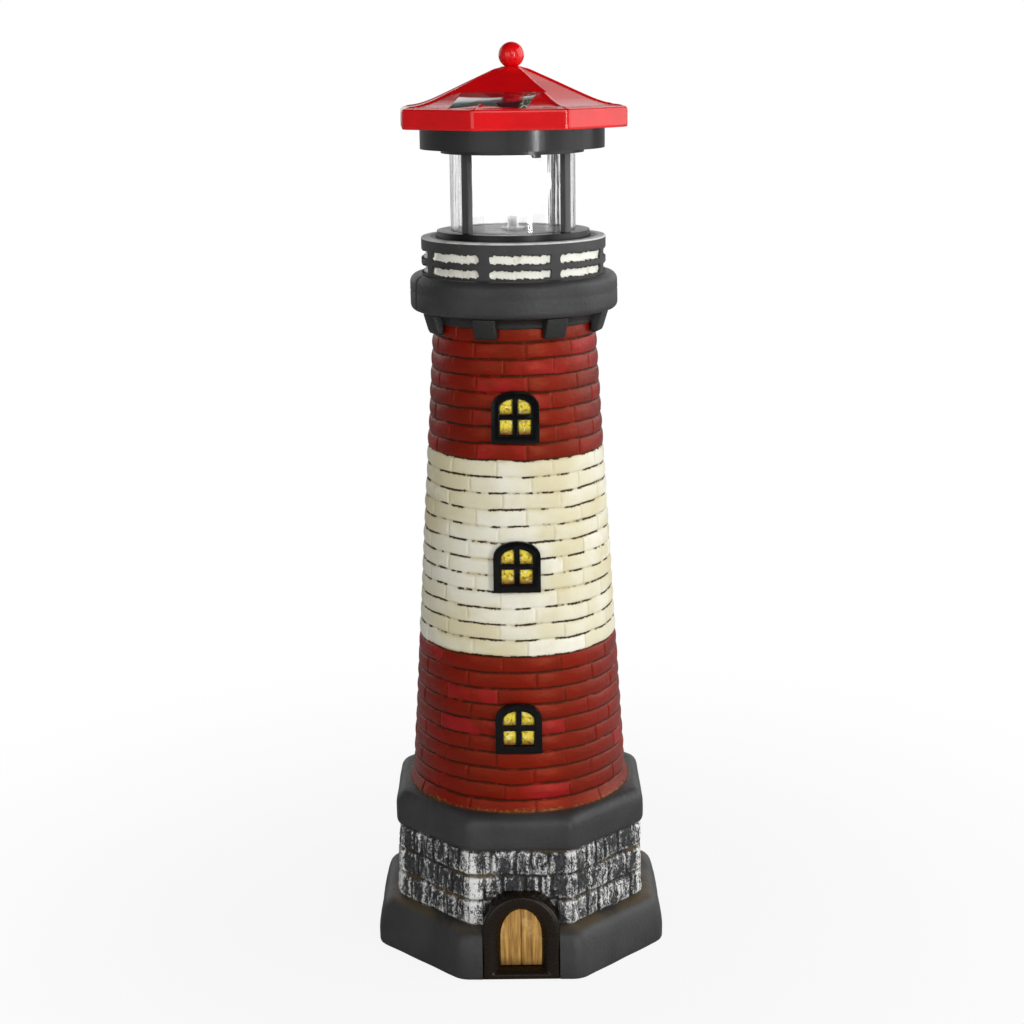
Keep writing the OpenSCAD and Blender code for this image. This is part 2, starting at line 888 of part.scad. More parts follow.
fascia_z = [337.4, 345];
hip_top = 360.7;
collar_r = 4.2;
flare_r = 33;
flare_z = 347.9;
rib_w = 1.6;
panel_azimuth = -19.5;
panel_size = [30.5, 20.4, 2];

// The flat for the solar panel, how far out and how high: the head and foot of its
// steep part, and the foot of the panel's part. It is cut across one hip of the roof.
flat_line = [[3.9, hip_top], [17, 351.1], [37.2, 345.2]];
flat_half_w = 18.5;
flat_run = flat_line[2] - flat_line[1];
panel_tilt = atan(-flat_run[1] / flat_run[0]);
panel_middle = flat_line[1] + (panel_size[1] / 2 + fit) * flat_run / norm(flat_run);

// Radius and height of points down a hip, from the collar to the fascia's corner
roof_hip = roof_af / 2 / cos(22.5);
roof_outer = [[collar_r, hip_top], [collar_r + 1.4, hip_top - 0.9], [flare_r, flare_z],
              [flare_r + 4.4, flare_z - 1.45], [flare_r + 8.6, flare_z - 2.3],
              [roof_hip - 0.5, fascia_z[1] + 0.2], [roof_hip, fascia_z[1] - 0.4]];

// Eight sided solid under a line down a hip
module roof_solid(hip, low) {
    rotate([0, 0, 22.5])
        rotate_extrude($fn = 8)
            polygon(concat([[0, hip[0][1]]], hip, [[hip[len(hip) - 1][0], low], [0, low]]));
}

// Hollow of the moulding, which goes through its foot
module roof_hollow() {
    inner = [for (i = [0:len(roof_outer) - 2])
        [max(roof_outer[i][0] - (i > 4 ? roof_wall : 0.8), 0), roof_outer[i][1] - roof_wall]];
    difference() {
        roof_solid(concat(inner, [[roof_hip - roof_wall, fascia_z[1] - roof_wall]]),
                   fascia_z[0] - 1);
        over_flat(roof_wall);
    }
}

// All that lies over the flat, or over one that is lower by drop
module over_flat(drop) {
    head_room = hip_top + 1;
    rotate([0, 0, panel_azimuth])
        translate([-flat_half_w, 0, -drop])
            rotate([90, 0, 90])
                linear_extrude(2 * flat_half_w)
                    polygon(concat([for (p = flat_line) [-p[0], p[1]]],
                                   [[-flat_line[2][0], head_room], [-flat_line[0][0], head_room]]));
}

// Raised ribs along the eight hips
module roof_ribs() {
    rib = [for (p = roof_outer) [p[0] - 0.6, p[1] + 0.35]];
    for (k = [0:7])
        rotate([0, 0, 22.5 + 45 * k])
            translate([0, rib_w / 2, 0])
                rotate([90, 0, 0])
                    linear_extrude(rib_w)
                        polygon(concat([for (i = [1:len(rib) - 2]) rib[i]],
                                       [for (i = [len(rib) - 2:-1:1]) rib[i] - [0.6, 1.4]]));
}

module roof() {
    color(roof_red)
    head()
    difference() {
        union() {
            difference() {
                union() {
                    roof_solid(roof_outer, fascia_z[0]);
                    roof_ribs();
                }
                over_flat(0);
                roof_hollow();
                // pocket that the panel is glued into
                panel_place()
                    translate([-panel_size[0] / 2 - fit, -panel_size[1] / 2 - fit,
                               -2 * panel_size[2]])
                        cube([panel_size[0] + 2 * fit, panel_size[1] + 2 * fit,
                              4 * panel_size[2]]);
            }
            // bosses for the screws from below
            at_azimuths(roof_screw_azimuths, roof_screw_r)
                translate([0, 0, floor_top + fit])
                    cylinder(r = 2.6, h = 346.2 - floor_top - fit);
        }
        at_azimuths(roof_screw_azimuths, roof_screw_r)
            translate([0, 0, floor_top - 1])
                cylinder(r = 0.95, h = 11, $fn = 24);
        translate([0, 0, hip_top - 6])
            cylinder(r = 1.6, h = 10, $fn = 32);
    }
}

module ball_finial() {
    color(roof_red)
    head()
    rotate_extrude()
        polygon(concat([[0, hip_top - 4.5], [1.55, hip_top - 4.5], [1.55, hip_top],
                        [2.9, hip_top], [2.6, hip_top + 0.4]],
                       [for (t = [-58:8:86]) [ball_r * cos(t), 365 + ball_r * sin(t)]],
                       [[0, 365 + ball_r]]));
}

// Puts children on the flat, their height 0 at its face
module panel_place() {
    rotate([0, 0, panel_azimuth])
        translate([0, -panel_middle[0], panel_middle[1]])
            rotate([panel_tilt, 0, 0])
                children();
}

module solar_panel() {
    color([0.06, 0.07, 0.12])
    head()
    panel_place()
        translate([-panel_size[0] / 2, -panel_size[1] / 2, -panel_size[2]])
            cube(panel_size);
}

// ---------------------------------------------------------------- reflector

dish_sphere = 24;
dish_wall = 1.2;
dish_tilt = 27;
dish_middle = [0, 0.5, 314.4];
dish_notch_r = 4;
boss_r = 2.4;
boss_top = 327.4;
shaft_r1 = 1.5;
reflector_shaft_z = [324.6, 338.3];

// Puts children in the dish's frame: its rim at height 0, its back upwards
module dish_place() {
    translate(dish_middle)
        rotate([dish_tilt - 90, 0, 0])
            children();
}

// Profile of one face of the dish, from the rim to the middle
function dish_arc(r, start) =
    let (depth = sqrt(dish_sphere * dish_sphere - dish_r * dish_r))
    [for (i = [0:10]) let (a = start + (90 - start) * i / 10) [r * cos(a), r * sin(a) - depth]];

module reflector_dish() {
    depth = sqrt(dish_sphere * dish_sphere - dish_r * dish_r);
    rim_angle = acos(dish_r / dish_sphere);
    color("white")
    head()
    difference() {
        union() {
            dish_place()
                rotate_extrude()
                    polygon(concat(dish_arc(dish_sphere, rim_angle),
                                   [for (i = [10:-1:0])
                                       dish_arc(dish_sphere - dish_wall, rim_angle)[i]]));
            difference() {
                translate([0, 0, boss_top - 5])
                    cylinder(r = boss_r, h = 5);
                dish_place()
                    translate([0, 0, -depth])
                        sphere(r = dish_sphere - dish_wall / 2);
            }
        }
        translate([0, 0, reflector_shaft_z[0]])
            cylinder(r = shaft_r1, h = 10);
        // notch over the LED's stem
        translate([0, 0, dish_middle[2] - dish_r * cos(dish_tilt)])
            rotate([-90, 0, 0])
                cylinder(r = dish_notch_r, h = 20);
    }
}

module reflector_shaft() {
    color(steel)
    head()
    translate([0, 0, reflector_shaft_z[0]])
        cylinder(r = shaft_r1, h = reflector_shaft_z[1] - reflector_shaft_z[0]);
}

// ---------------------------------------------------------------- gears

pressure = 25;
play = 0.1;
flank_steps = 3;
gear_low = [331.5, 333.7];
gear_high = [334.4, 336.2];
pinion_z = [334.2, 336.8];

function polar(r, a) = [r * cos(a), r * sin(a)];
// Angle between an involute's foot on the circle rb and its point at radius r
function involute_angle(r, rb) = sqrt(max(pow(r / rb, 2) - 1, 0)) * 180 / PI - acos(min(rb / r, 1));

// Outline of a spur gear whose first tooth points along +X
function gear_outline(teeth) =
    let (rp = gear_m * teeth / 2, rb = rp * cos(pressure), ra = rp + 0.8 * gear_m,
         rf = rp - 1.1 * gear_m, r0 = max(rb, rf),
         half = 90 / teeth - play / 2 / rp * 180 / PI + involute_angle(rp, rb),
         radii = [for (i = [0:flank_steps]) r0 + (ra - r0) * i / flank_steps])
    [for (k = [0:teeth - 1])
        let (a = 360 * k / teeth)
        each concat(
            rf < rb ? [polar(rf, a - half)] : [],
            [for (r = radii) polar(r, a - half + involute_angle(r, rb))],
            [for (i = [flank_steps:-1:0]) polar(radii[i], a + half - involute_angle(radii[i], rb))],
            rf < rb ? [polar(rf, a + half)] : [])];

// A gear between two heights, its first tooth at the angle given
module gear(teeth, z, tooth_at) {
    translate([0, 0, z[0]])
        rotate([0, 0, tooth_at])
            linear_extrude(z[1] - z[0])
                polygon(gear_outline(teeth));
}

// A gap of each driven gear faces a tooth of the gear that drives it
idler_angle = atan2(idler_at[1], idler_at[0]);
pinion_angle = -20;

module output_gear() {
    color(gear_white)
    head()
    difference() {
        union() {
            gear(output_teeth, gear_low, idler_angle - 180 / output_teeth);
            translate([0, 0, gear_low[0]])
                cylinder(r = 2.6, h = 2.5);
        }
        translate([0, 0, gear_low[0] - 1])
            cylinder(r = shaft_r1, h = 6);
    }
}

module idler_gear() {
    color(gear_white)
    head()
    translate([idler_at[0], idler_at[1], 0]) {
        gear(idler_teeth[0], [gear_low[0] - 0.2, gear_high[0] + eps], idler_angle + 180);
        gear(idler_teeth[1], gear_high, pinion_angle - 180 / idler_teeth[1]);
        translate([0, 0, floor_z + 0.7])
            cylinder(r = 0.8, h = 8.2, $fn = 32);
    }
}

module motor_pinion() {
    color(steel)
    head()
    translate([pinion_at[0], pinion_at[1], 0]) {
        gear(pinion_teeth, pinion_z, pinion_angle + 180);
        translate([0, 0, pinion_z[0] - 0.3])
            cylinder(r = 0.75, h = 6, $fn = 32);
    }
}

// ---------------------------------------------------------------- leads

lead_r = 0.5;
lead_sides = 8;

function unit(v) = v / norm(v);
// Ring of points round p, square to the direction t
function lead_ring(p, t, side) =
    let (u = unit(cross(t, side)), w = cross(t, u))
    [for (s = [0:lead_sides - 1])
        let (a = 360 * s / lead_sides) p + lead_r * cos(a) * u + lead_r * sin(a) * w];

// A lead through the points of a route, which never runs along the direction side
module lead(route, side) {
    n = len(route);
    color("firebrick")
    head()
    loft([for (i = [0:n - 1])
        lead_ring(route[i], unit(route[min(i + 1, n - 1)] - route[max(i - 1, 0)]), side)],
        bends = true);
}

// Each route meets its board, motor or switch square on
solar_route = [[-10.7, -25.7, 345.7], [-10.7, -25.6, 344.7], [-11, -25, 342.6],
               [-12.2, -21.5, 340.2], [-14.5, -16, 338.8], [-17, -11.5, 338.5],
               [-18.2, -8.9, 338], [-18.5, -8, 337.1], [-18.5, -8, 336.25]];
motor_route = [[14.2, -6, 346.05], [14.2, -6, 346.9], [13.2, -5.4, 347.6], [9, -3, 347.8],
               [1, -1.5, 345.4], [-7, -1, 341.6], [-12.8, -1.1, 338.6], [-14.4, -1.3, 337.2],
               [-14.4, -1.3, 336.25]];
minus_route = [[-28.9, 11, 342], [-28.2, 9.6, 342.4], [-26.6, 6.6, 341.8], [-25, 4, 340.4],
               [-24, 2.7, 338.6], [-23.6, 2.2, 337.2], [-23.6, 2.2, 336.25]];
plus_route = [[28.9, 11, 342], [28, 9.2, 342.4], [25, 6.4, 342], [19, 4.8, 341.2],
              [4, 4.6, 341], [-10, 4.6, 341], [-15.6, 4.4, 340.2], [-18.6, 4.2, 338.6],
              [-19.6, 4.2, 337.2], [-19.6, 4.2, 336.25]];
switch_route = [[5, -25, 334.65], [5, -25, 335.5], [4, -24, 336.4], [-1, -19.8, 337.2],
                [-7.5, -15.8, 337.8], [-12, -12.6, 338.5], [-14.8, -8.6, 338.6],
                [-15.8, -6.9, 337.9], [-16, -6.4, 337.1], [-16, -6.4, 336.25]];
led_route = [[-19.4, -10.2, 336.25], [-19.4, -10.2, 337.1], [-19.4, -11.2, 337.9],
             [-19.3, -13.6, 337.4], [-19.2, -16.4, 335.4], [-19.16, -18.5, 332.8],
             [-19.16, -19.16, 330], [-19.16, -19.16, 312], [-19.16, -19.16, 295.6],
             [-18.4, -18.4, 293.2], [-15.6, -15.6, 291.4], [-8, -8, 291], [-4.3, -4.3, 291.9],
             [-3.4, -3.4, 293.2], [-3.4, -3.4, 294.05]];

module solar_leads() { lead(solar_route, [1, 0, 0]); }
module motor_leads() { lead(motor_route, [0, 1, 0]); }
module battery_leads() {
    lead(minus_route, [1, 0, 0]);
    lead(plus_route, [0, 1, 0]);
}
module switch_leads() { lead(switch_route, [1, 1, 0]); }
module led_leads() { lead(led_route, [1, -1, 0]); }

plinth();
shaft();
gallery();
window_frame(window_z[0]);  // window_frame_lower
window_frame(window_z[1]);  // window_frame_middle
window_frame(window_z[2]);  // window_frame_upper
window_panes(window_z[0]);  // window_panes_lower
window_panes(window_z[1]);  // window_panes_middle
window_panes(window_z[2]);  // window_panes_upper
door_surround();
door_leaf();
lamp_cage();
base_cover();
cover_screws();
led_board();
led_stem();
led();
clear_tube();
upper_housing();
cage_screws();
roof();
roof_screws();
ball_finial();
solar_panel();
battery();
battery_spring();
battery_contact();
circuit_board();
board_screws();
gear_plate();
plate_screws();
motor();
switch_body();
solar_leads();
battery_leads();
motor_leads();
switch_leads();
led_leads();
reflector_dish();
reflector_shaft();
output_gear();
idler_gear();
motor_pinion();
switch_knob();
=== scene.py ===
"""Garden lighthouse ornament: its looks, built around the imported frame.

The painted castings of the tower are built here in full relief. The lamp head keeps the
frame's own shapes, with smooth and rounded copies where they show. Lengths are in metres,
+Z is up and the door faces -Y.
"""

import logging
import math
from dataclasses import dataclass, field
from enum import Enum
from typing import Callable, Sequence

import bmesh
import bpy
import numpy as np
from mathutils import Matrix, Vector


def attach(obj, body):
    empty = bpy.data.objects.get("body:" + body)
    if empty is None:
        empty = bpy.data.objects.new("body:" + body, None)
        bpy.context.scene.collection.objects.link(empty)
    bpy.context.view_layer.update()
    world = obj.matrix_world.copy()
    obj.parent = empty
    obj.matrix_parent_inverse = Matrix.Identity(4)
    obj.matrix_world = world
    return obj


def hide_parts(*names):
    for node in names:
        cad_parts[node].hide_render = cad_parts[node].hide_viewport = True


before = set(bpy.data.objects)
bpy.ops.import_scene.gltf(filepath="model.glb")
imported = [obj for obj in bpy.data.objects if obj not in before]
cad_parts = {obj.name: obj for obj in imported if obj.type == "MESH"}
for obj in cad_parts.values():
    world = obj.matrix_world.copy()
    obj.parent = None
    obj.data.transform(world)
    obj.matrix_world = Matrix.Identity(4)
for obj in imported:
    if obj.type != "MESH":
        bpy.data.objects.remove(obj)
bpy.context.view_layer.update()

LOG = logging.getLogger("lighthouse")
MM = 0.001
OCTAGON = math.tan(math.radians(22.5))
COURSE_H = 0.0066
HEAD_TURN = 4.0
FLAT_AZIMUTH = HEAD_TURN - 19.5

Colour = tuple[float, float, float, float]
Profile = tuple[tuple[float, float], ...]
Levels = tuple[tuple[float, float, float], ...]


class Body(Enum):
    """The frame's bodies that pieces ride on."""

    TOWER = "tower"
    HEAD = "lamp_head"
    REFLECTOR = "reflector"
    SWITCH = "switch"


def srgb(red: float, green: float, blue: float) -> Colour:
    """Gives the linear colour of a screen colour.

    Args:
        red: Red, 0 to 255.
        green: Green, 0 to 255.
        blue: Blue, 0 to 255.

    Returns:
        The colour with full alpha.
    """
    def linear(value: float) -> float:
        """Undoes the screen curve for one channel."""
        part = value / 255
        return part / 12.92 if part <= 0.04045 else ((part + 0.055) / 1.055) ** 2.4
    return (linear(red), linear(green), linear(blue), 1.0)


# ------------------------------------------------------------------ node helpers


class Wire:
    """A socket whose arithmetic adds nodes to its tree."""

    def __init__(self, graph: "Graph", socket: bpy.types.NodeSocket) -> None:
        """Keeps the tree and the socket."""
        self.graph = graph
        self.socket = socket

    def __add__(self, other: "Wire | float") -> "Wire":
        """Adds."""
        return self.graph.math("ADD", self, other)

    def __sub__(self, other: "Wire | float") -> "Wire":
        """Subtracts."""
        return self.graph.math("SUBTRACT", self, other)

    def __rsub__(self, other: float) -> "Wire":
        """Subtracts from a number."""
        return self.graph.math("SUBTRACT", other, self)

    def __mul__(self, other: "Wire | float") -> "Wire":
        """Multiplies."""
        return self.graph.math("MULTIPLY", self, other)

    def __truediv__(self, other: "Wire | float") -> "Wire":
        """Divides."""
        return self.graph.math("DIVIDE", self, other)

    __radd__ = __add__
    __rmul__ = __mul__

    def floor(self) -> "Wire":
        """Rounds down."""
        return self.graph.math("FLOOR", self)

    def abs(self) -> "Wire":
        """Drops the sign."""
        return self.graph.math("ABSOLUTE", self)

    def mod(self, divisor: float) -> "Wire":
        """Remainder that is never negative."""
        return self.graph.math("FLOORED_MODULO", self, divisor)

    def sin_deg(self) -> "Wire":
        """Sine of an angle in degrees."""
        return self.graph.math("SINE", self * (math.pi / 180))

    def below(self, limit: "Wire | float") -> "Wire":
        """One where the value is below a limit, else zero."""
        return self.graph.math("LESS_THAN", self, limit)

    def least(self, other: "Wire | float") -> "Wire":
        """The lesser of two values."""
        return self.graph.math("MINIMUM", self, other)

    def most(self, other: "Wire | float") -> "Wire":
        """The greater of two values."""
        return self.graph.math("MAXIMUM", self, other)

    def smooth(self, low: "Wire | float", high: "Wire | float") -> "Wire":
        """Goes smoothly from 0 at low to 1 at high."""
        node = self.graph.add("ShaderNodeMapRange", interpolation_type="SMOOTHSTEP")
        for name, value in (("Value", self), ("From Min", low), ("From Max", high)):
            self.graph.link(value, node.inputs[name])
        return Wire(self.graph, node.outputs["Result"])


class Graph:
    """A shader or geometry tree with short calls for the nodes used here."""

    def __init__(self, tree: bpy.types.NodeTree) -> None:
        """Keeps the tree."""
        self.tree = tree

    def add(self, kind: str, **settings: object) -> bpy.types.Node:
        """Adds a node.

        Args:
            kind: The node's type name.
            **settings: Properties of the node.

        Returns:
            The node.
        """
        node = self.tree.nodes.new(kind)
        for name, value in settings.items():
            setattr(node, name, value)
        return node

    def link(self, value: object, socket: bpy.types.NodeSocket) -> None:
        """Joins a wire to a socket, or sets the socket to a constant."""
        if isinstance(value, Wire):
            self.tree.links.new(value.socket, socket)
        else:
            socket.default_value = value

    def math(self, operation: str, *values: "Wire | float") -> Wire:
        """Adds a Math node and returns its result."""
        node = self.add("ShaderNodeMath", operation=operation)
        for value, socket in zip(values, node.inputs):
            self.link(value, socket)
        return Wire(self, node.outputs[0])

    def soft_least(self, a: Wire, b: Wire, reach: float) -> Wire:
        """The lesser of two values, rounded over a reach where they are alike."""
        return self.math("SMOOTH_MIN", a, b, reach)

    def xyz(self, vector: Wire) -> tuple[Wire, Wire, Wire]:
        """Splits a vector."""
        node = self.add("ShaderNodeSeparateXYZ")
        self.link(vector, node.inputs[0])
        return tuple(Wire(self, out) for out in node.outputs)

    def vector(self, x: "Wire | float", y: "Wire | float", z: "Wire | float") -> Wire:
        """Joins three values into a vector."""
        node = self.add("ShaderNodeCombineXYZ")
        for value, socket in zip((x, y, z), node.inputs):
            self.link(value, socket)
        return Wire(self, node.outputs[0])

    def scaled(self, vector: Wire, scale: Sequence[float]) -> Wire:
        """Multiplies a vector by another, axis by axis."""
        node = self.add("ShaderNodeVectorMath", operation="MULTIPLY")
        self.link(vector, node.inputs[0])
        self.link(tuple(scale), node.inputs[1])
        return Wire(self, node.outputs[0])

    def noise(self, vector: Wire, scale: float, detail: float = 3.0,
              distortion: float = 0.0, seed: "Wire | float" = 0.0) -> Wire:
        """Noise about one half.

        Args:
            vector: Where it is read.
            scale: Waves per metre.
            detail: Octaves.
            distortion: How far it is stirred.
            seed: Which noise of many.

        Returns:
            The noise, about 0.2 to 0.8.
        """
        node = self.add("ShaderNodeTexNoise", noise_dimensions="4D")
        for name, value in (("Vector", vector), ("W", seed), ("Scale", scale),
                            ("Detail", detail), ("Distortion", distortion)):
            self.link(value, node.inputs[name])
        return Wire(self, node.outputs[0])

    def chance(self, x: Wire, y: Wire) -> Wire:
        """A random number from 0 to 1 for each pair of whole numbers."""
        node = self.add("ShaderNodeTexWhiteNoise", noise_dimensions="2D")
        self.link(self.vector(x, y, 0.0), node.inputs["Vector"])
        return Wire(self, node.outputs["Value"])

    def mix(self, share: "Wire | float", first: "Wire | Colour",
            second: "Wire | Colour") -> Wire:
        """Blends two colours.

        Args:
            share: Share of the second.
            first: The colour at 0.
            second: The colour at 1.

        Returns:
            The blend.
        """
        node = self.add("ShaderNodeMix", data_type="RGBA")
        self.link(share, node.inputs[0])
        self.link(first, node.inputs[6])
        self.link(second, node.inputs[7])
        return Wire(self, node.outputs[2])

    def attribute(self, name: str) -> Wire:
        """A number that the mesh carries, in a shader tree."""
        return Wire(self, self.add("ShaderNodeAttribute", attribute_name=name).outputs["Fac"])

    def place(self) -> Wire:
        """Object coordinates, in a shader tree."""
        return Wire(self, self.add("ShaderNodeTexCoord").outputs["Object"])

    def radius(self, x: Wire, y: Wire) -> Wire:
        """Distance from the Z axis."""
        return self.math("SQRT", x * x + y * y)

    def bump(self, height: Wire, distance: float) -> Wire:
        """Bends the normal by a height, in a shader tree."""
        node = self.add("ShaderNodeBump")
        node.inputs["Strength"].default_value = 1.0
        node.inputs["Distance"].default_value = distance
        self.link(height, node.inputs["Height"])
        return Wire(self, node.outputs[0])


# ------------------------------------------------------------------ finishes


@dataclass(frozen=True)
class Finish:
    """A finish with the values that are the same all over it.

    Attributes:
        name: The material's name.
        slot: The record's material slot; not used by this script.
        colour: The main colour.
        roughness: Roughness of the surface.
        metallic: One for bare metal.
        coat: Weight of a clear gloss coat.
        specular: Specular level.
        sheen: Colour of what it mirrors.
        transmission: One for clear plastic.
        ior: Index of refraction.
        glow: Strength of its own light, in its main colour.
    """

    name: str
    slot: str
    colour: Colour
    roughness: float = 0.5
    metallic: float = 0.0
    coat: float = 0.0
    specular: float = 0.5
    sheen: Colour = (1.0, 1.0, 1.0, 1.0)
    transmission: float = 0.0
    ior: float = 1.5
    glow: float = 0.0

    def pattern(self, g: Graph) -> dict[str, Wire]:
        """Faint mottling and a fine grain, which every plain moulding has.

        Args:
            g: The material's tree.

        Returns:
            Wires by the name of the shader's input.
        """
        p = g.place()
        cloud = g.noise(p, 90.0).smooth(0.3, 0.7)
        dark = tuple(c * 0.86 for c in self.colour[:3]) + (1.0,)
        grain = g.noise(p, 1400.0, 2.0)
        return {"Base Color": g.mix(cloud, dark, self.colour),
                "Roughness": grain * 0.12 + (self.roughness - 0.06),
                "Normal": g.bump(grain, 0.00004)}

    def material(self) -> bpy.types.Material:
        """Builds the material, or gives the one already built."""
        found = bpy.data.materials.get(self.name)
        if found:
            return found
        material = bpy.data.materials.new(self.name)
        material.use_nodes = True
        shader = material.node_tree.nodes["Principled BSDF"]
        for socket, value in (("Base Color", self.colour), ("Roughness", self.roughness),
                              ("Metallic", self.metallic), ("Coat Weight", self.coat),
                              ("Coat Roughness", 0.08), ("IOR", self.ior),
                              ("Specular IOR Level", self.specular),
                              ("Specular Tint", self.sheen),
                              ("Transmission Weight", self.transmission),
                              ("Emission Color", self.colour),
                              ("Emission Strength", self.glow)):
            shader.inputs[socket].default_value = value
        graph = Graph(material.node_tree)
        for socket, wire in self.pattern(graph).items():
            graph.link(wire, shader.inputs[socket])
        return material


@dataclass(frozen=True)
class BrickPaint(Finish):
    """Satin paint on bricks, with a thin dark wash along the level joints.

    Attributes:
        shade: Colour of the darker clouds.
        fresh: Colour of the fresher bricks.
        groove: Colour of the wash in the level joints.
        upright: Colour of the upright joints.
        stain: Colour of the dirt beside the joints.
        gaps: How much of the level joints the wash misses, from 0.3 to 0.6.
        dirt_top: Height below which crumbs of dirt cling to the foot.
    """

    shade: Colour = (0, 0, 0, 1)
    fresh: Colour = (0, 0, 0, 1)
    groove: Colour = (0, 0, 0, 1)
    upright: Colour = (0, 0, 0, 1)
    stain: Colour = (0, 0, 0, 1)
    gaps: float = 0.4
    dirt_top: float = 0.0679

    def pattern(self, g: Graph) -> dict[str, Wire]:
        """Cloudy bricks, thin broken lines in the level joints and faint upright ones.

        Args:
            g: The material's tree.

        Returns:
            Wires by the name of the shader's input.
        """
        p = g.place()
        brick, side = g.attribute("brick"), g.attribute("side")
        level = g.attribute("level").mod(COURSE_H)
        near = level.least(COURSE_H - level)
        cloud = g.noise(p, 34.0, 4.0, 0.6)
        fine = g.noise(g.scaled(p, (1, 1, 2.4)), 420.0, 4.0)
        colour = g.mix((cloud + brick * 0.12).smooth(0.42, 0.7), self.shade, self.colour)
        new = brick.smooth(0.86, 0.88) * g.noise(p, 75.0, 3.0, 0.8, 3.0).smooth(0.4, 0.6)
        colour = g.mix(new * 0.6, colour, self.fresh)
        colour = g.mix(fine.smooth(0.56, 0.78) * 0.3, colour, self.shade)
        dirt = g.noise(p, 95.0, 4.0, 0.5, 5.0).smooth(0.46, 0.66)
        colour = g.mix(dirt * (1.0 - near.smooth(0.0, 0.0017)) * 0.6, colour, self.stain)
        seam = 1.0 - side.smooth(0.0001, 0.0006)
        patchy = g.noise(p, 60.0, 2.0, 0.3, 11.0).smooth(0.4, 0.6) * 0.4 + 0.1
        colour = g.mix(seam * patchy, colour, self.upright)
        ragged = g.noise(p, 900.0, 3.0, 0.3, 7.0) - 0.5
        dash = g.noise(g.scaled(p, (1, 1, 0.4)), 150.0, 3.0, 0.4, 8.0)
        dash = dash.smooth(self.gaps, self.gaps + 0.08)
        thin = 1.0 - (near + ragged * 0.001 - dash * 0.00012).smooth(0.0001, 0.0005)
        wash = thin * (dash * 0.85 + 0.15)
        colour = g.mix(wash, colour, self.groove)
        crumb = g.noise(p, 800.0, 4.0, 0.4, 12.0)
        fringe = self.dirt_top - g.xyz(p)[2]
        fringe = fringe + (cloud - 0.5) * 0.004 + (crumb - 0.5) * 0.0045
        earth = g.mix(crumb.smooth(0.45, 0.6), srgb(58, 42, 18), srgb(112, 90, 46))
        colour = g.mix(fringe.smooth(0.0, 0.0009) * 0.8, colour, earth)
        return {"Base Color": colour,
                "Roughness": fine * 0.25 + (self.roughness - 0.12) + wash * 0.2,
                "Normal": g.bump(fine + cloud * 0.6, 0.00014)}


@dataclass(frozen=True)
class CastGrey(Finish):
    """Matte charcoal paint on a casting, brown with dirt where it collects; the gallery's cove
    carries painted shade.

    Attributes:
        slab_dirt: Heights between which the slab's top is dirty by the wall.
        slab_reach: How far from the middle that dirt goes.
        ledge_dirt: Heights between which the ledge is dirty round the shaft.
        ledge_reach: How far from the middle that dirt goes.
        cove: Heights between which the gallery's cove is darkened, as painted shade under the
            ledge.
    """

    slab_dirt: tuple[float, float] = (0.0165, 0.022)
    slab_reach: float = 0.0575
    ledge_dirt: tuple[float, float] = (0.064, 0.08)
    ledge_reach: float = 0.0484
    cove: tuple[float, float] = (0.25, 0.2672)

    def pattern(self, g: Graph) -> dict[str, Wire]:
        """Cloudy grey with pits and pale specks, dirt, and painted shade in the cove.

        Args:
            g: The material's tree.

        Returns:
            Wires by the name of the shader's input.
        """
        p = g.place()
        cloud = g.noise(p, 45.0, 5.0, 0.5)
        fine = g.noise(p, 700.0, 4.0)
        pale = tuple(min(c * 1.25, 1.0) for c in self.colour[:3]) + (1.0,)
        dark = tuple(c * 0.75 for c in self.colour[:3]) + (1.0,)
        colour = g.mix(cloud.smooth(0.3, 0.7), dark, pale)
        colour = g.mix(fine.smooth(0.62, 0.8) * 0.3, colour, dark)
        speck = g.noise(p, 1600.0, 2.0, 0.0, 6.0).smooth(0.71, 0.74)
        colour = g.mix(speck * 0.35, colour, srgb(150, 150, 148))
        x, y, z = g.xyz(p)
        reach = (x.abs().most(y.abs())).most((x.abs() + y.abs()) * 0.7071)
        low, high = self.slab_dirt
        dirt = (z - low).smooth(0.0, 0.003) * (self.slab_reach - reach).smooth(0.0, 0.004)
        dirt = dirt * (high - z).smooth(0.0, 0.001) * cloud.smooth(0.35, 0.6)
        colour = g.mix(dirt * 0.75, colour, srgb(92, 78, 50))
        low, high = self.ledge_dirt
        radius = g.radius(x, y) + (fine - 0.5) * 0.004
        foot = (z - low).smooth(0.0, 0.0015) * (high - z).smooth(0.0, 0.001)
        foot = foot * (self.ledge_reach - radius).smooth(0.0, 0.0016)
        colour = g.mix(foot * 0.75, colour, srgb(84, 68, 40))
        # Painted shade: the cove under the gallery's ledge is darkened almost to black.
        low, high = self.cove
        shade = (high - z).smooth(0.0, 0.002) * (z - low).smooth(0.0, 0.004)
        colour = g.mix(shade * 0.85, colour, srgb(22, 22, 20))
        return {"Base Color": colour,
                "Roughness": fine * 0.2 + (self.roughness - 0.1),
                "Normal": g.bump(fine + cloud * 1.5, 0.00018)}


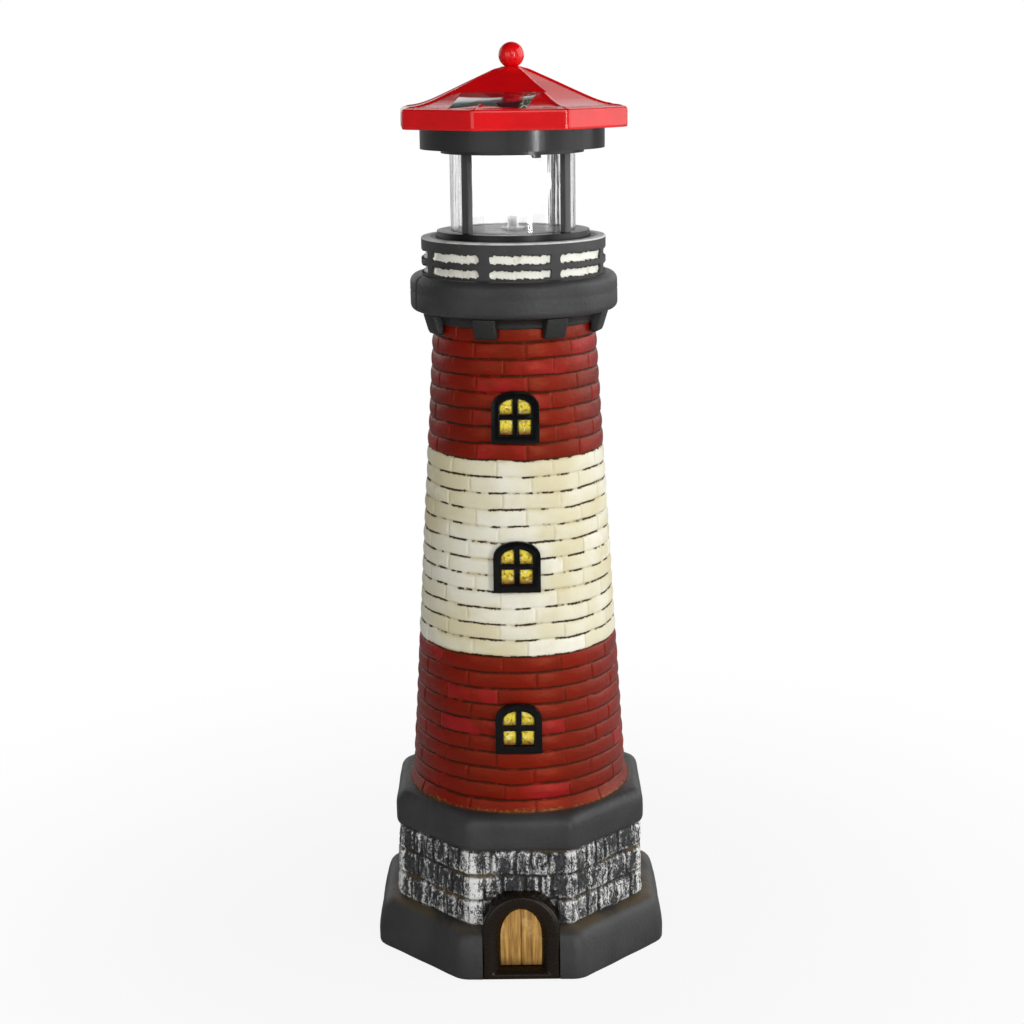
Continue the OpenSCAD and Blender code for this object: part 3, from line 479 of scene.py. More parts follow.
@dataclass(frozen=True)
class RailPaint(CastGrey):
    """The casting's grey, with cream in the railing's openings and a painted white highlight on
    its rim.

    Attributes:
        rim_highlight_z: Height above which the rim carries a painted white highlight.
        rim_highlight_r: Radius beyond which it does.
    """

    rim_highlight_z: float = 0.2942
    rim_highlight_r: float = 0.0325

    def pattern(self, g: Graph) -> dict[str, Wire]:
        """The grey, with ragged cream where the openings are and a broken painted white highlight
        on the rim.

        Args:
            g: The material's tree.

        Returns:
            Wires by the name of the shader's input.
        """
        grey = super().pattern(g)
        p = g.place()
        slot = g.attribute("slot")
        ragged = slot + (g.noise(p, 300.0, 5.0, 0.8, 2.0) - 0.5) * 0.9
        stain = g.noise(p, 210.0, 4.0, 0.3, 5.0)
        cream = g.mix(stain.smooth(0.56, 0.7) * 0.4, srgb(236, 236, 226), srgb(196, 182, 150))
        rust = g.noise(p, 170.0, 4.0, 0.6, 9.0).smooth(0.6, 0.66)
        rim = g.mix(rust, srgb(66, 63, 50), srgb(120, 74, 30))
        colour = g.mix(ragged.smooth(0.3, 0.42), grey["Base Color"], rim)
        colour = g.mix((ragged - rust * 0.2).smooth(0.5, 0.58), colour, cream)
        x, y, z = g.xyz(p)
        # Painted highlight: a broken white line along the rim's outer top edge, where the light
        # catches it.
        outer = (g.radius(x, y) - self.rim_highlight_r).smooth(0.0, 0.002)
        top = (z - self.rim_highlight_z).smooth(0.0, 0.0003) * outer
        highlight_breakup = g.noise(p, 140.0, 3.0, 0.4, 3.0).smooth(0.25, 0.6)
        grey["Base Color"] = g.mix(top * (highlight_breakup * 0.5 + 0.45), colour, srgb(222, 222, 220))
        return grey


@dataclass(frozen=True)
class RubblePaint(Finish):
    """Charcoal stones with white dry-brushed on what stands out."""

    def pattern(self, g: Graph) -> dict[str, Wire]:
        """White on edges, corners and raised grain, olive wash in the level joints.

        Args:
            g: The material's tree.

        Returns:
            Wires by the name of the shader's input.
        """
        p = g.place()
        near, stone = g.attribute("near"), g.attribute("brick")
        relief, run = g.attribute("relief"), g.attribute("run")
        grain = g.noise(g.scaled(p, (1.3, 1.3, 0.6)), 700.0, 6.0, 1.9)
        stroke = g.noise(g.scaled(p, (1.0, 1.0, 0.24)), 420.0, 4.0, 1.2, 2.0)
        broad = g.noise(g.scaled(p, (1, 1, 0.6)), 62.0, 3.0, 0.4, 4.0)
        colour = g.mix(grain.smooth(0.35, 0.65), srgb(30, 30, 33), self.colour)
        edge = near.smooth(0.0005, 0.0011) * (1.0 - near.smooth(0.0013, 0.0026))
        corner = run.abs().smooth(0.8, 0.93)
        reach = (stroke - 0.5) * 2.2 + (broad - 0.5) * 1.6 + relief * 0.5 + edge * 0.28
        reach = reach + corner * 0.55 + (stone - 0.5) * 0.35
        brush = reach + (grain - 0.5) * 2.6
        pits = g.noise(g.scaled(p, (1.0, 1.0, 0.7)), 520.0, 3.0, 1.4, 6.0) - 0.5
        lace = (1.0 - pits.abs().smooth(0.008, 0.04)) * reach.smooth(-0.06, 0.26)
        white = srgb(226, 226, 224)
        colour = g.mix(brush.smooth(0.12, 0.4) * 0.16, colour, white)
        colour = g.mix(lace.most(brush.smooth(0.52, 0.7)) * 0.95, colour, white)
        crack = 1.0 - (near + (grain - 0.5) * 0.002).smooth(0.0, 0.0011)
        colour = g.mix(crack * 0.75, colour, srgb(28, 27, 24))
        moss = g.noise(p, 70.0, 4.0, 0.6, 8.0).smooth(0.5, 0.62)
        moss = moss * (1.0 - g.attribute("rung").smooth(0.0002, 0.0014))
        colour = g.mix(moss * 0.75, colour, srgb(88, 72, 34))
        return {"Base Color": colour,
                "Roughness": grain * 0.2 + (self.roughness - 0.1),
                "Normal": g.bump(grain, 0.0003)}


@dataclass(frozen=True)
class PanePaint(Finish):
    """Yellow panes with painted glints, gone orange-brown along their lower edges."""

    def pattern(self, g: Graph) -> dict[str, Wire]:
        """Brown at the foot of each pane, with brush marks and painted glints.

        Args:
            g: The material's tree.

        Returns:
            Wires by the name of the shader's input.
        """
        p = g.place()
        foot = g.attribute("foot")
        mark = g.noise(p, 520.0, 4.0, 0.7)
        stain = (foot + (mark - 0.5) * 0.9).smooth(0.5, 0.95)
        colour = g.mix(mark.smooth(0.34, 0.54), srgb(158, 116, 8), self.colour)
        # Painted highlight: near-white glints scattered on the panes.
        painted_glint = g.noise(p, 700.0, 3.0, 0.6, 2.0).smooth(0.56, 0.64)
        colour = g.mix(painted_glint * 0.75, colour, srgb(252, 248, 196))
        return {"Base Color": g.mix(stain, colour, srgb(112, 62, 16)),
                "Normal": g.bump(mark, 0.00012)}


@dataclass(frozen=True)
class PlankPaint(Finish):
    """Ochre planks with upright brush marks.

    Attributes:
        dirt_top: Height below which the door is dark.
    """

    dirt_top: float = 0.0085

    def pattern(self, g: Graph) -> dict[str, Wire]:
        """Grain along Z, a seam up the middle, darker at the door's foot.

        Args:
            g: The material's tree.

        Returns:
            Wires by the name of the shader's input.
        """
        p = g.place()
        grain = g.noise(g.scaled(p, (1, 1, 0.08)), 900.0, 5.0, 0.4)
        cloud = g.noise(p, 150.0)
        colour = g.mix(grain.smooth(0.3, 0.7), srgb(140, 98, 48), self.colour)
        colour = g.mix(cloud.smooth(0.55, 0.75) * 0.6, colour, srgb(222, 184, 122))
        x, _, z = g.xyz(p)
        seam = 1.0 - (x.abs() + (grain - 0.5) * 0.0004).smooth(0.0001, 0.00035)
        colour = g.mix(seam * 0.7, colour, srgb(96, 66, 26))
        dirt = (self.dirt_top - z + (cloud - 0.5) * 0.006).smooth(0.0, 0.004)
        return {"Base Color": g.mix(dirt * 0.7, colour, srgb(86, 56, 30)),
                "Normal": g.bump(grain, 0.00025)}


@dataclass(frozen=True)
class SolarFace(Finish):
    """Maroon cell under a wavy coat, with a painted grey reflection on its left and streaks on
    its right.

    Attributes:
        head: How far out from the axis the cell begins.
        length: How far out it goes from there.
    """

    head: float = 0.017
    length: float = 0.0196

    def pattern(self, g: Graph) -> dict[str, Wire]:
        """Painted grey reflection to a wavy slanting edge, maroon, then pale flecks along one
        side.

        Args:
            g: The material's tree.

        Returns:
            Wires by the name of the shader's input.
        """
        turn = g.add("ShaderNodeMapping")
        turn.inputs["Rotation"].default_value = (0, 0, -math.radians(FLAT_AZIMUTH))
        g.link(g.place(), turn.inputs["Vector"])
        p = Wire(g, turn.outputs[0])
        across, out, _ = g.xyz(p)
        down = (out * -1.0 - self.head) / self.length
        wave = g.noise(g.scaled(p, (1, 1.3, 0.4)), 95.0, 2.0, 0.5)
        edge = across - down * 0.016 + 0.0075 + (wave - 0.5) * 0.018
        # Painted reflection: the grey on the cell's left stands for the coat mirroring its
        # surroundings.
        painted_reflection = g.mix(g.noise(p, 60.0, 2.0, 0.5, 2.0).smooth(0.35, 0.65),
                     srgb(86, 90, 86), srgb(110, 113, 106))
        colour = g.mix(edge.smooth(-0.0002, 0.0003), painted_reflection, self.colour)
        strip = (across - down * 0.003 - 0.0092 + (wave - 0.5) * 0.004).smooth(0.0, 0.0003)
        colour = g.mix(strip, colour, srgb(92, 93, 80))
        flake = g.noise(g.scaled(p, (1.5, 0.7, 0.4)), 330.0, 3.0, 1.2, 5.0).smooth(0.55, 0.6)
        colour = g.mix(strip * flake * 0.85, colour, srgb(222, 221, 206))
        return {"Base Color": colour, "Normal": g.bump(wave, 0.0003)}


@dataclass(frozen=True)
class SatinBlack(Finish):
    """Black moulding with fine upright marks, greyer above a height.

    Attributes:
        grey: Its colour above the height.
        height: Where the grey begins.
    """

    grey: Colour = (0, 0, 0, 1)
    height: float = 1.0

    def pattern(self, g: Graph) -> dict[str, Wire]:
        """Upright marks in the colour and the roughness, rings on what faces up.

        Args:
            g: The material's tree.

        Returns:
            Wires by the name of the shader's input.
        """
        p = g.place()
        x, y, z = g.xyz(p)
        mark = g.noise(g.scaled(p, (1, 1, 0.03)), 700.0, 3.0)
        ring = g.noise(g.vector(g.radius(x, y), 0.0, 0.0), 900.0, 3.0)
        colour = g.mix((z - self.height).smooth(0.0, 0.0004), self.colour, self.grey)
        dark = g.mix(0.3, colour, (0.0, 0.0, 0.0, 1.0))
        return {"Base Color": g.mix(mark.smooth(0.35, 0.65), dark, colour),
                "Roughness": mark * 0.1 + ring * 0.2 + (self.roughness - 0.15),
                "Normal": g.bump(mark + ring * 2.0, 0.00003)}


@dataclass(frozen=True)
class ClearMoulding(Finish):
    """Clear plastic with faint upright streaks from its mould."""

    def pattern(self, g: Graph) -> dict[str, Wire]:
        """Streaks along Z in the roughness and the normal.

        Args:
            g: The material's tree.

        Returns:
            Wires by the name of the shader's input.
        """
        streak = g.noise(g.scaled(g.place(), (1, 1, 0.04)), 330.0, 4.0)
        tint = g.mix(streak.smooth(0.5, 0.75), self.colour, (0.94, 0.94, 0.94, 1.0))
        return {"Base Color": tint,
                "Roughness": streak.smooth(0.45, 0.8) * 0.16 + self.roughness,
                "Normal": g.bump(streak, 0.0002)}


RED_BRICK = BrickPaint("red_brick_paint", "cast_brick", srgb(122, 13, 2), 0.4,
                       specular=0.65, sheen=(1.0, 0.3, 0.16, 1.0),
                       shade=srgb(106, 13, 2), fresh=srgb(156, 20, 34),
                       groove=srgb(46, 14, 6), upright=srgb(70, 16, 8),
                       stain=srgb(84, 38, 14), gaps=0.36)
CREAM_BRICK = BrickPaint("cream_brick_paint", "cast_brick", srgb(232, 229, 211), 0.6,
                         specular=0.3, shade=srgb(217, 208, 172), fresh=srgb(242, 239, 226),
                         groove=srgb(56, 40, 22), upright=srgb(190, 180, 146),
                         stain=srgb(198, 182, 132), gaps=0.44)
CAST_GREY = CastGrey("charcoal_casting", "cast_stone", srgb(48, 48, 49), 0.5, specular=0.45)
RAIL_GREY = RailPaint("railing_casting", "cast_stone", srgb(51, 51, 52), 0.5, specular=0.45)
RUBBLE = RubblePaint("dry_brushed_stone", "cast_stone", srgb(68, 68, 70), 0.7, specular=0.3)
FRAME_BLACK = Finish("window_frame_gloss", "black_gloss", srgb(5, 5, 6), 0.15, specular=0.2)
PANE = PanePaint("window_pane_yellow", "pane_yellow", srgb(244, 222, 62), 0.25)
PORTAL = Finish("door_surround_brown", "portal_brown", srgb(28, 19, 10), 0.28, specular=0.22)
PLANK = PlankPaint("door_plank_ochre", "door_ochre", srgb(202, 158, 84), 0.5, specular=0.3)
ROOF_RED = Finish("roof_gloss_red", "red_plastic", srgb(227, 7, 15), 0.18)
HEAD_BLACK = SatinBlack("lamp_satin_black", "black_plastic", srgb(31, 31, 31), 0.19,
                        specular=0.8)
CAGE_BLACK = SatinBlack("cage_satin_black", "black_plastic", srgb(18, 18, 18), 0.36,
                        specular=0.3, grey=srgb(74, 74, 74), height=0.2974)
SOLAR = SolarFace("solar_cell_face", "solar_cell", srgb(78, 18, 30), 0.1, coat=1.0)
CLEAR = ClearMoulding("clear_moulding", "clear_plastic", (1, 1, 1, 1), 0.02,
                      transmission=1.0, ior=1.46)
STEM = ClearMoulding("clear_stem", "clear_plastic", (0.72, 0.72, 0.72, 1), 0.06,
                     transmission=0.5, ior=1.46)
GLOW = Finish("led_glow", "clear_plastic", (1, 1, 1, 1), 0.2, glow=2.5)
# The reflector is no lamp: its glow is painted light, standing for the LED's light thrown back by
# the dish.
DISH_PAINTED_GLOW = Finish("reflector_painted_glow", "reflector_white", (0.95, 0.95, 0.94, 1), 0.25, glow=0.75)
STEEL = Finish("zinc_steel", "screw_steel", srgb(200, 200, 204), 0.3, metallic=1.0)
NYLON = Finish("gear_nylon", "white_plastic", srgb(226, 226, 218), 0.5)
BOARD = Finish("board_lacquer", "board_green", srgb(24, 92, 46), 0.35)
SLEEVE = Finish("battery_sleeve", "battery_sleeve", srgb(30, 120, 70), 0.25)
LEAD = Finish("lead_insulation", "lead_red", srgb(150, 24, 24), 0.5)

NODE_FINISHES: dict[Finish, tuple[str, ...]] = {
    CAST_GREY: ("plinth", "gallery"),
    RED_BRICK: ("shaft",),
    PORTAL: ("door_surround",),
    PLANK: ("door_leaf",),
    FRAME_BLACK: ("window_frame_lower", "window_frame_middle", "window_frame_upper"),
    PANE: ("window_panes_lower", "window_panes_middle", "window_panes_upper"),
    ROOF_RED: ("roof", "ball_finial"),
    HEAD_BLACK: ("upper_housing", "switch_knob"),
    CAGE_BLACK: ("lamp_cage", "base_cover"),
    SOLAR: ("solar_panel",),
    CLEAR: ("clear_tube",),
    STEM: ("led_stem",),
    GLOW: ("led",),
    DISH_PAINTED_GLOW: ("reflector_dish",),
    STEEL: ("cover_screws", "cage_screws", "roof_screws", "board_screws", "plate_screws",
            "battery_spring", "battery_contact", "motor", "switch_body", "reflector_shaft",
            "motor_pinion"),
    NYLON: ("gear_plate", "output_gear", "idler_gear"),
    BOARD: ("led_board", "circuit_board"),
    SLEEVE: ("battery",),
    LEAD: ("solar_leads", "battery_leads", "motor_leads", "switch_leads", "led_leads"),
}


# ------------------------------------------------------------------ mesh helpers


def link_piece(name: str, mesh: bpy.types.Mesh) -> bpy.types.Object:
    """Makes an object of a mesh and puts it in the scene."""
    piece = bpy.data.objects.new(name, mesh)
    bpy.context.scene.collection.objects.link(piece)
    return piece


def dress(piece: bpy.types.Object, finish: Finish, body: Body,
          nodes: Sequence[str] = ()) -> bpy.types.Object:
    """Gives a piece its finish, its body and the frame nodes it stands for.

    Args:
        piece: The piece, in place.
        finish: Its finish.
        body: The body it rides on.
        nodes: Frame nodes that it replaces.

    Returns:
        The piece.
    """
    piece.data.materials.clear()
    piece.data.materials.append(finish.material())
    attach(piece, body.value)
    if nodes:
        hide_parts(*nodes)
    LOG.info("%s: %d faces on %s", piece.name, len(piece.data.polygons), body.value)
    return piece


def apply_modifiers(piece: bpy.types.Object) -> None:
    """Turns a piece with modifiers into a plain mesh.

    Args:
        piece: The piece, which keeps its name and loses its modifiers.
    """
    bpy.context.view_layer.update()
    graph = bpy.context.evaluated_depsgraph_get()
    mesh = bpy.data.meshes.new_from_object(
        piece.evaluated_get(graph), preserve_all_data_layers=True, depsgraph=graph)
    piece.modifiers.clear()
    piece.data = mesh
    mesh.name = piece.name


def ring_shell(name: str, points: np.ndarray, numbers: dict[str, np.ndarray],
               outward: np.ndarray) -> bpy.types.Object:
    """Makes a closed shell of rings, the last joined to the first.

    Args:
        name: The piece's name.
        points: Array of rings by columns by 3, counter-clockwise from above, going up the
            outside and down the inside.
        numbers: Arrays of rings by columns, kept on the mesh by name.
        outward: Array like points with the directions that relief goes in.

    Returns:
        The piece.
    """
    rings, columns, _ = points.shape
    r = np.arange(rings)[:, None]
    c = np.arange(columns)[None, :]
    r_next, c_next = (r + 1) % rings, (c + 1) % columns
    quads = np.stack([r * columns + c, r * columns + c_next,
                      r_next * columns + c_next, r_next * columns + c], -1).reshape(-1, 4)
    mesh = bpy.data.meshes.new(name)
    mesh.from_pydata(points.reshape(-1, 3).tolist(), [], quads.tolist())
    for key, values in numbers.items():
        layer = mesh.attributes.new(key, "FLOAT", "POINT")
        layer.data.foreach_set("value", np.broadcast_to(
            values, (rings, columns)).astype(np.float32).ravel())
    layer = mesh.attributes.new("outward", "FLOAT_VECTOR", "POINT")
    layer.data.foreach_set("vector", outward.astype(np.float32).ravel())
    mesh.shade_smooth()
    return link_piece(name, mesh)


def octagon_ring(half_flat: float, corner: float, z: float,
                 steps: np.ndarray) -> tuple[np.ndarray, np.ndarray]:
    """Points and outward directions round an octagon with round corners.

    Args:
        half_flat: Distance from the middle to a side.
        corner: Radius of its corners.
        z: Height.
        steps: Places along half a side, from -1 to 1, for each side.

    Returns:
        Arrays of points and of directions, side by side from the front, counter-clockwise.
    """
    straight = (half_flat - corner) * OCTAGON
    length = straight + corner * math.radians(22.5)
    s = steps * length
    angle = np.maximum(np.abs(s) - straight, 0) / corner * np.sign(s)
    x = np.clip(s, -straight, straight) + corner * np.sin(angle)
    y = -(half_flat - corner) - corner * np.cos(angle)
    points, directions = [], []
    for side in range(8):
        a = math.radians(45 * side)
        points.append(np.stack([x * math.cos(a) - y * math.sin(a),
                                x * math.sin(a) + y * math.cos(a), np.full_like(x, z)], -1))
        d = angle + a
        directions.append(np.stack([np.sin(d), -np.cos(d), np.zeros_like(d)], -1))
    return np.concatenate(points), np.concatenate(directions)


def angles(columns: int) -> np.ndarray:
    """Azimuths of so many columns of points, in radians."""
    return np.arange(columns) * math.tau / columns


def turned(radii: np.ndarray, heights: np.ndarray,
           columns: int) -> tuple[np.ndarray, np.ndarray]:
    """Turns a profile about the Z axis.

    Args:
        radii: Radius at each height, or at each height and column.
        heights: Heights, going round the profile.
        columns: Columns of points round the axis.

    Returns:
        Arrays of points and of outward directions, rings by columns by 3.
    """
    a = angles(columns)
    radii = radii if radii.ndim == 2 else radii[:, None]
    points = np.stack([radii * np.sin(a), -radii * np.cos(a),
                       np.repeat(heights[:, None], columns, 1)], -1)
    outward = np.broadcast_to(np.stack([np.sin(a), -np.cos(a), 0 * a], -1), points.shape)
    return points, outward


def round_ring(outer: np.ndarray) -> np.ndarray:
    """Outward directions of a round bore, at the azimuths of a ring of points."""
    heading = np.arctan2(outer[:, 0], -outer[:, 1])
    return np.stack([np.sin(heading), -np.cos(heading), 0 * heading], -1)


def face_out(piece: bpy.types.Object) -> None:
    """Turns every face of a closed piece outward."""
    work = bmesh.new()
    work.from_mesh(piece.data)
    bmesh.ops.recalc_face_normals(work, faces=work.faces)
    work.to_mesh(piece.data)
    work.free()


def prism(outline: Sequence[tuple[float, float]], low: float, high: float,
          place: Matrix) -> bpy.types.Object:
    """Makes a closed prism to cut with.

    Args:
        outline: Its outline, in the first two axes of its own frame.
        low: Where it begins along the third.
        high: Where it ends.
        place: Its own frame.

    Returns:
        The prism.
    """
    work = bmesh.new()
    ends = [[work.verts.new((x, y, z)) for x, y in outline] for z in (low, high)]
    for end in ends:
        work.faces.new(end)
    for i in range(len(outline)):
        j = (i + 1) % len(outline)
        work.faces.new([ends[0][i], ends[0][j], ends[1][j], ends[1][i]])
    bmesh.ops.transform(work, matrix=place, verts=work.verts)
    bmesh.ops.recalc_face_normals(work, faces=work.faces)
    mesh = bpy.data.meshes.new("cutter")
    work.to_mesh(mesh)
    work.free()
    return link_piece("cutter", mesh)


def cut_away(piece: bpy.types.Object, cutter: bpy.types.Object) -> None:
    """Cuts one closed piece by another.

    Args:
        piece: The piece that is cut.
        cutter: What cuts it, which is used up.
    """
    cut = piece.modifiers.new("cut", "BOOLEAN")
    cut.operation = "DIFFERENCE"
    cut.object = cutter
    cut.solver = "EXACT"
    apply_modifiers(piece)
    bpy.data.objects.remove(cutter)


def smooth_step(x: np.ndarray, low: float, high: float) -> np.ndarray:
    """Goes smoothly from 0 at low to 1 at high."""
    t = np.clip((x - low) / (high - low), 0, 1)
    return t * t * (3 - 2 * t)


def rounded_copy(node: str, name: str, bevel: float = 0.0, segments: int = 3,
                 angle: float = 35.0) -> bpy.types.Object:
    """Copies a frame node, joins its loose triangles and rounds its edges.

    Args:
        node: The frame node.
        name: The copy's name.
        bevel: Width of the rounding, or 0 for none.
        segments: Steps in the rounding.
        angle: Edges sharper than this are kept or rounded, in degrees.

    Returns:
        The copy, a plain mesh.
    """
    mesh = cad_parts[node].data.copy()
    work = bmesh.new()
    work.from_mesh(mesh)
    bmesh.ops.remove_doubles(work, verts=work.verts, dist=2e-6)
    bmesh.ops.dissolve_limit(work, angle_limit=math.radians(0.6), verts=work.verts,
                             edges=work.edges)
    work.to_mesh(mesh)
    work.free()
    mesh.materials.clear()
    piece = link_piece(name, mesh)
    if bevel:
        rounding = piece.modifiers.new("round", "BEVEL")
        rounding.width = bevel
        rounding.segments = segments
        rounding.angle_limit = math.radians(angle)
        rounding.harden_normals = False
        apply_modifiers(piece)
    piece.data.shade_smooth()
    piece.data.set_sharp_from_angle(angle=math.radians(angle))
    return piece


# ------------------------------------------------------------------ geometry node trees


@dataclass
class GeometryTree:
    """A Geometry Nodes tree with named inputs, run on a piece and then removed.

    Attributes:
        name: The tree's name.
        inputs: Names of its number inputs with their values.
    """

    name: str
    inputs: dict[str, float] = field(default_factory=dict)

    def fields(self, g: Graph, socket: Callable[[str], Wire], geometry: Wire) -> Wire:
        """Adds the tree's own nodes. Each kind of tree gives its own."""
        raise NotImplementedError

    def run(self, piece: bpy.types.Object, material: bpy.types.Material) -> None:
        """Runs the tree on a piece and leaves a plain mesh.

        Args:
            piece: The piece with the base mesh.
            material: What Set Material gives it.
        """
        tree = bpy.data.node_groups.new(self.name, "GeometryNodeTree")
        face = tree.interface
        face.new_socket("Geometry", in_out="INPUT", socket_type="NodeSocketGeometry")
        face.new_socket("Geometry", in_out="OUTPUT", socket_type="NodeSocketGeometry")
        for name in self.inputs:
            face.new_socket(name, in_out="INPUT", socket_type="NodeSocketFloat")
        face.new_socket("Material", in_out="INPUT", socket_type="NodeSocketMaterial")
        g = Graph(tree)
        entry, leave = g.add("NodeGroupInput"), g.add("NodeGroupOutput")
        shaped = self.fields(g, lambda name: Wire(g, entry.outputs[name]),
                             Wire(g, entry.outputs["Geometry"]))
        realize = g.add("GeometryNodeRealizeInstances")
        g.link(shaped, realize.inputs[0])
        paint = g.add("GeometryNodeSetMaterial")
        g.link(Wire(g, realize.outputs[0]), paint.inputs["Geometry"])
        g.link(Wire(g, entry.outputs["Material"]), paint.inputs["Material"])
        g.link(Wire(g, paint.outputs[0]), leave.inputs[0])
        modifier = piece.modifiers.new(self.name, "NODES")
        modifier.node_group = tree
        values = {**self.inputs, "Material": material}
        for item in face.items_tree:
            if item.in_out == "INPUT" and item.name in values:
                modifier[item.identifier] = values[item.name]
        apply_modifiers(piece)
        piece.data.shade_smooth()


def read_number(g: Graph, name: str, kind: str = "FLOAT") -> Wire:
    """Reads what the mesh carries under a name, in a geometry tree."""
    node = g.add("GeometryNodeInputNamedAttribute", data_type=kind)
    node.inputs["Name"].default_value = name
    return Wire(g, node.outputs["Attribute"])


def keep_number(g: Graph, geometry: Wire, name: str, value: Wire) -> Wire:
    """Stores a number on the mesh for its material to read."""
    node = g.add("GeometryNodeStoreNamedAttribute", data_type="FLOAT", domain="POINT")
    g.link(geometry, node.inputs["Geometry"])
    node.inputs["Name"].default_value = name
    g.link(value, node.inputs["Value"])
    return Wire(g, node.outputs[0])


@dataclass
class MasonryTree(GeometryTree):
    """Courses of bricks or stones in relief, from the run and rise the mesh carries."""

    def upright(self, g: Graph, course: Wire, position: Wire) -> tuple[Wire, Wire]:
        """Distance to the nearest upright joint, and the number of the stone."""
        raise NotImplementedError

    def fields(self, g: Graph, socket: Callable[[str], Wire], geometry: Wire) -> Wire:
        """Sinks the joints, crowns the stones and roughens their faces.

        Args:
            g: The tree.
            socket: Gives the wire of a named input.
            geometry: The base mesh.

        Returns:
            The mesh in relief, with the numbers that the paint reads.
        """
        position = Wire(g, g.add("GeometryNodeInputPosition").outputs[0])
        seed = socket("Seed")
        drift = g.noise(position, 55.0, 2.0, 0.0, seed) - 0.5
        rise = read_number(g, "rise") + drift * socket("Line Drift")
        height = socket("Course Height")
        course = (rise / height + 0.0001).floor()
        level = rise - course * height
        rung = level.least(height - level)
        sideways, stone = self.upright(g, course, position)
        near = g.soft_least(sideways, rung, 0.0006)
        width = socket("Joint Width")
        joint = 1.0 - rung.smooth(width * 0.12, width)
        upright = (1.0 - sideways.smooth(width * 0.12, width)) * socket("Upright Joints")
        chance = g.chance(course, stone)
        pillow = rung.smooth(0.0, 0.003).least(sideways.smooth(-0.0006, 0.0012))
        broad = g.noise(position, 130.0, 3.0, 0.3, seed) - 0.5
        fine = g.noise(position, 620.0, 3.0, 0.3, seed) - 0.5
        crown = socket("Crown") * (broad * 3.0 + 0.8)
        relief = (pillow - 1.0) * crown + (chance - 0.5) * socket("Unevenness")
        relief = relief + broad * socket("Swell") + fine * socket("Grain")
        sunk = relief - joint.most(upright) * socket("Joint Depth")
        face, recess = read_number(g, "face"), read_number(g, "recess")
        offset = g.add("ShaderNodeVectorMath", operation="SCALE")
        g.link(read_number(g, "outward", "FLOAT_VECTOR"), offset.inputs[0])
        g.link(sunk * face * (1.0 - recess) - recess * 0.003, offset.inputs["Scale"])
        lift = g.vector(0.0, 0.0, drift * socket("Row Drift") * read_number(g, "slack"))
        total = g.add("ShaderNodeVectorMath", operation="ADD")
        g.link(Wire(g, offset.outputs[0]), total.inputs[0])
        g.link(lift, total.inputs[1])
        move = g.add("GeometryNodeSetPosition")
        kept = keep_number(g, geometry, "level", rise)
        for name, value in (("side", sideways), ("rung", rung), ("near", near),
                            ("brick", chance), ("relief", broad + fine)):
            kept = keep_number(g, kept, name, value)
        g.link(kept, move.inputs["Geometry"])
        g.link(Wire(g, total.outputs[0]), move.inputs["Offset"])
        return Wire(g, move.outputs[0])


@dataclass
class BrickTree(MasonryTree):
    """Even bricks in each course, half a brick apart from course to course.

    Attributes:
        bricks: Bricks in one course.
        start: Azimuth of the first joint, in degrees.
        stray: How far a joint strays, in degrees.
    """

    bricks: int = 10
    start: float = 8.0
    stray: float = 2.5

    def upright(self, g: Graph, course: Wire, position: Wire) -> tuple[Wire, Wire]:
        """Joints at the same angles as the frame's.

        Args:
            g: The tree.
            course: Number of the course.
            position: The point.

        Returns:
            Distance to the nearest upright joint, and the number of the brick.
        """
        run = read_number(g, "run")
        step, count = 360.0 / self.bricks, float(self.bricks)
        first = self.start - course.mod(2.0) * (step / 2)
        index = ((run - first) / step).floor()

        def joint_at(number: Wire) -> Wire:
            """Angle of a joint, none quite regular."""
            stray = (course * 97.0 + number.mod(count) * 57.0).sin_deg() * self.stray
            return first + number * step + stray

        left = run - joint_at(index)
        right = joint_at(index + 1.0) - run
        x, y, _ = g.xyz(position)
        distance = left.abs().least(right.abs()) * g.radius(x, y) * (math.pi / 180)
        return distance, (index - left.below(0.0) + right.below(0.0)).mod(count)


@dataclass
class RubbleTree(MasonryTree):
    """Upright stones in three courses, with the corner stones going round.

    Attributes:
        half_side: Half the length of a side.
        fewest: Stones in the side that has fewest.
        stray: How far a joint strays.
        shift: How far all joints are to one side.
        corner: Added to the distance from a corner, which is no joint.
    """

    half_side: float = 0.0213
    fewest: float = 4.0
    stray: float = 0.0016
    shift: float = 0.00045
    corner: float = 0.02

    def upright(self, g: Graph, course: Wire, position: Wire) -> tuple[Wire, Wire]:
        """Joints at the same places as the frame's.

        Args:
            g: The tree.
            course: Number of the course.
            position: The point; not used here.

        Returns:
            Distance to the nearest upright joint, and the number of the stone.
        """
        side, across = read_number(g, "number"), read_number(g, "run") * self.half_side
        count = (side + course * 2.0).mod(3.0) + self.fewest
        index = ((across / (2 * self.half_side) + 0.5) * count).floor()

        def joint_at(number: Wire) -> Wire:
            """Place of a joint along its side."""
            stray = (side * 71.0 + course * 133.0 + number * 97.0).sin_deg() * self.stray
            return (number / count * 2.0 - 1.0) * self.half_side + stray + self.shift

        left = (across - joint_at(index)).abs() + index.below(0.5) * self.corner
        following = index + 1.0
        right = (joint_at(following) - across).abs()
        right = right + (count - 0.5).below(following) * self.corner
        return left.least(right), side * 7.0 + index


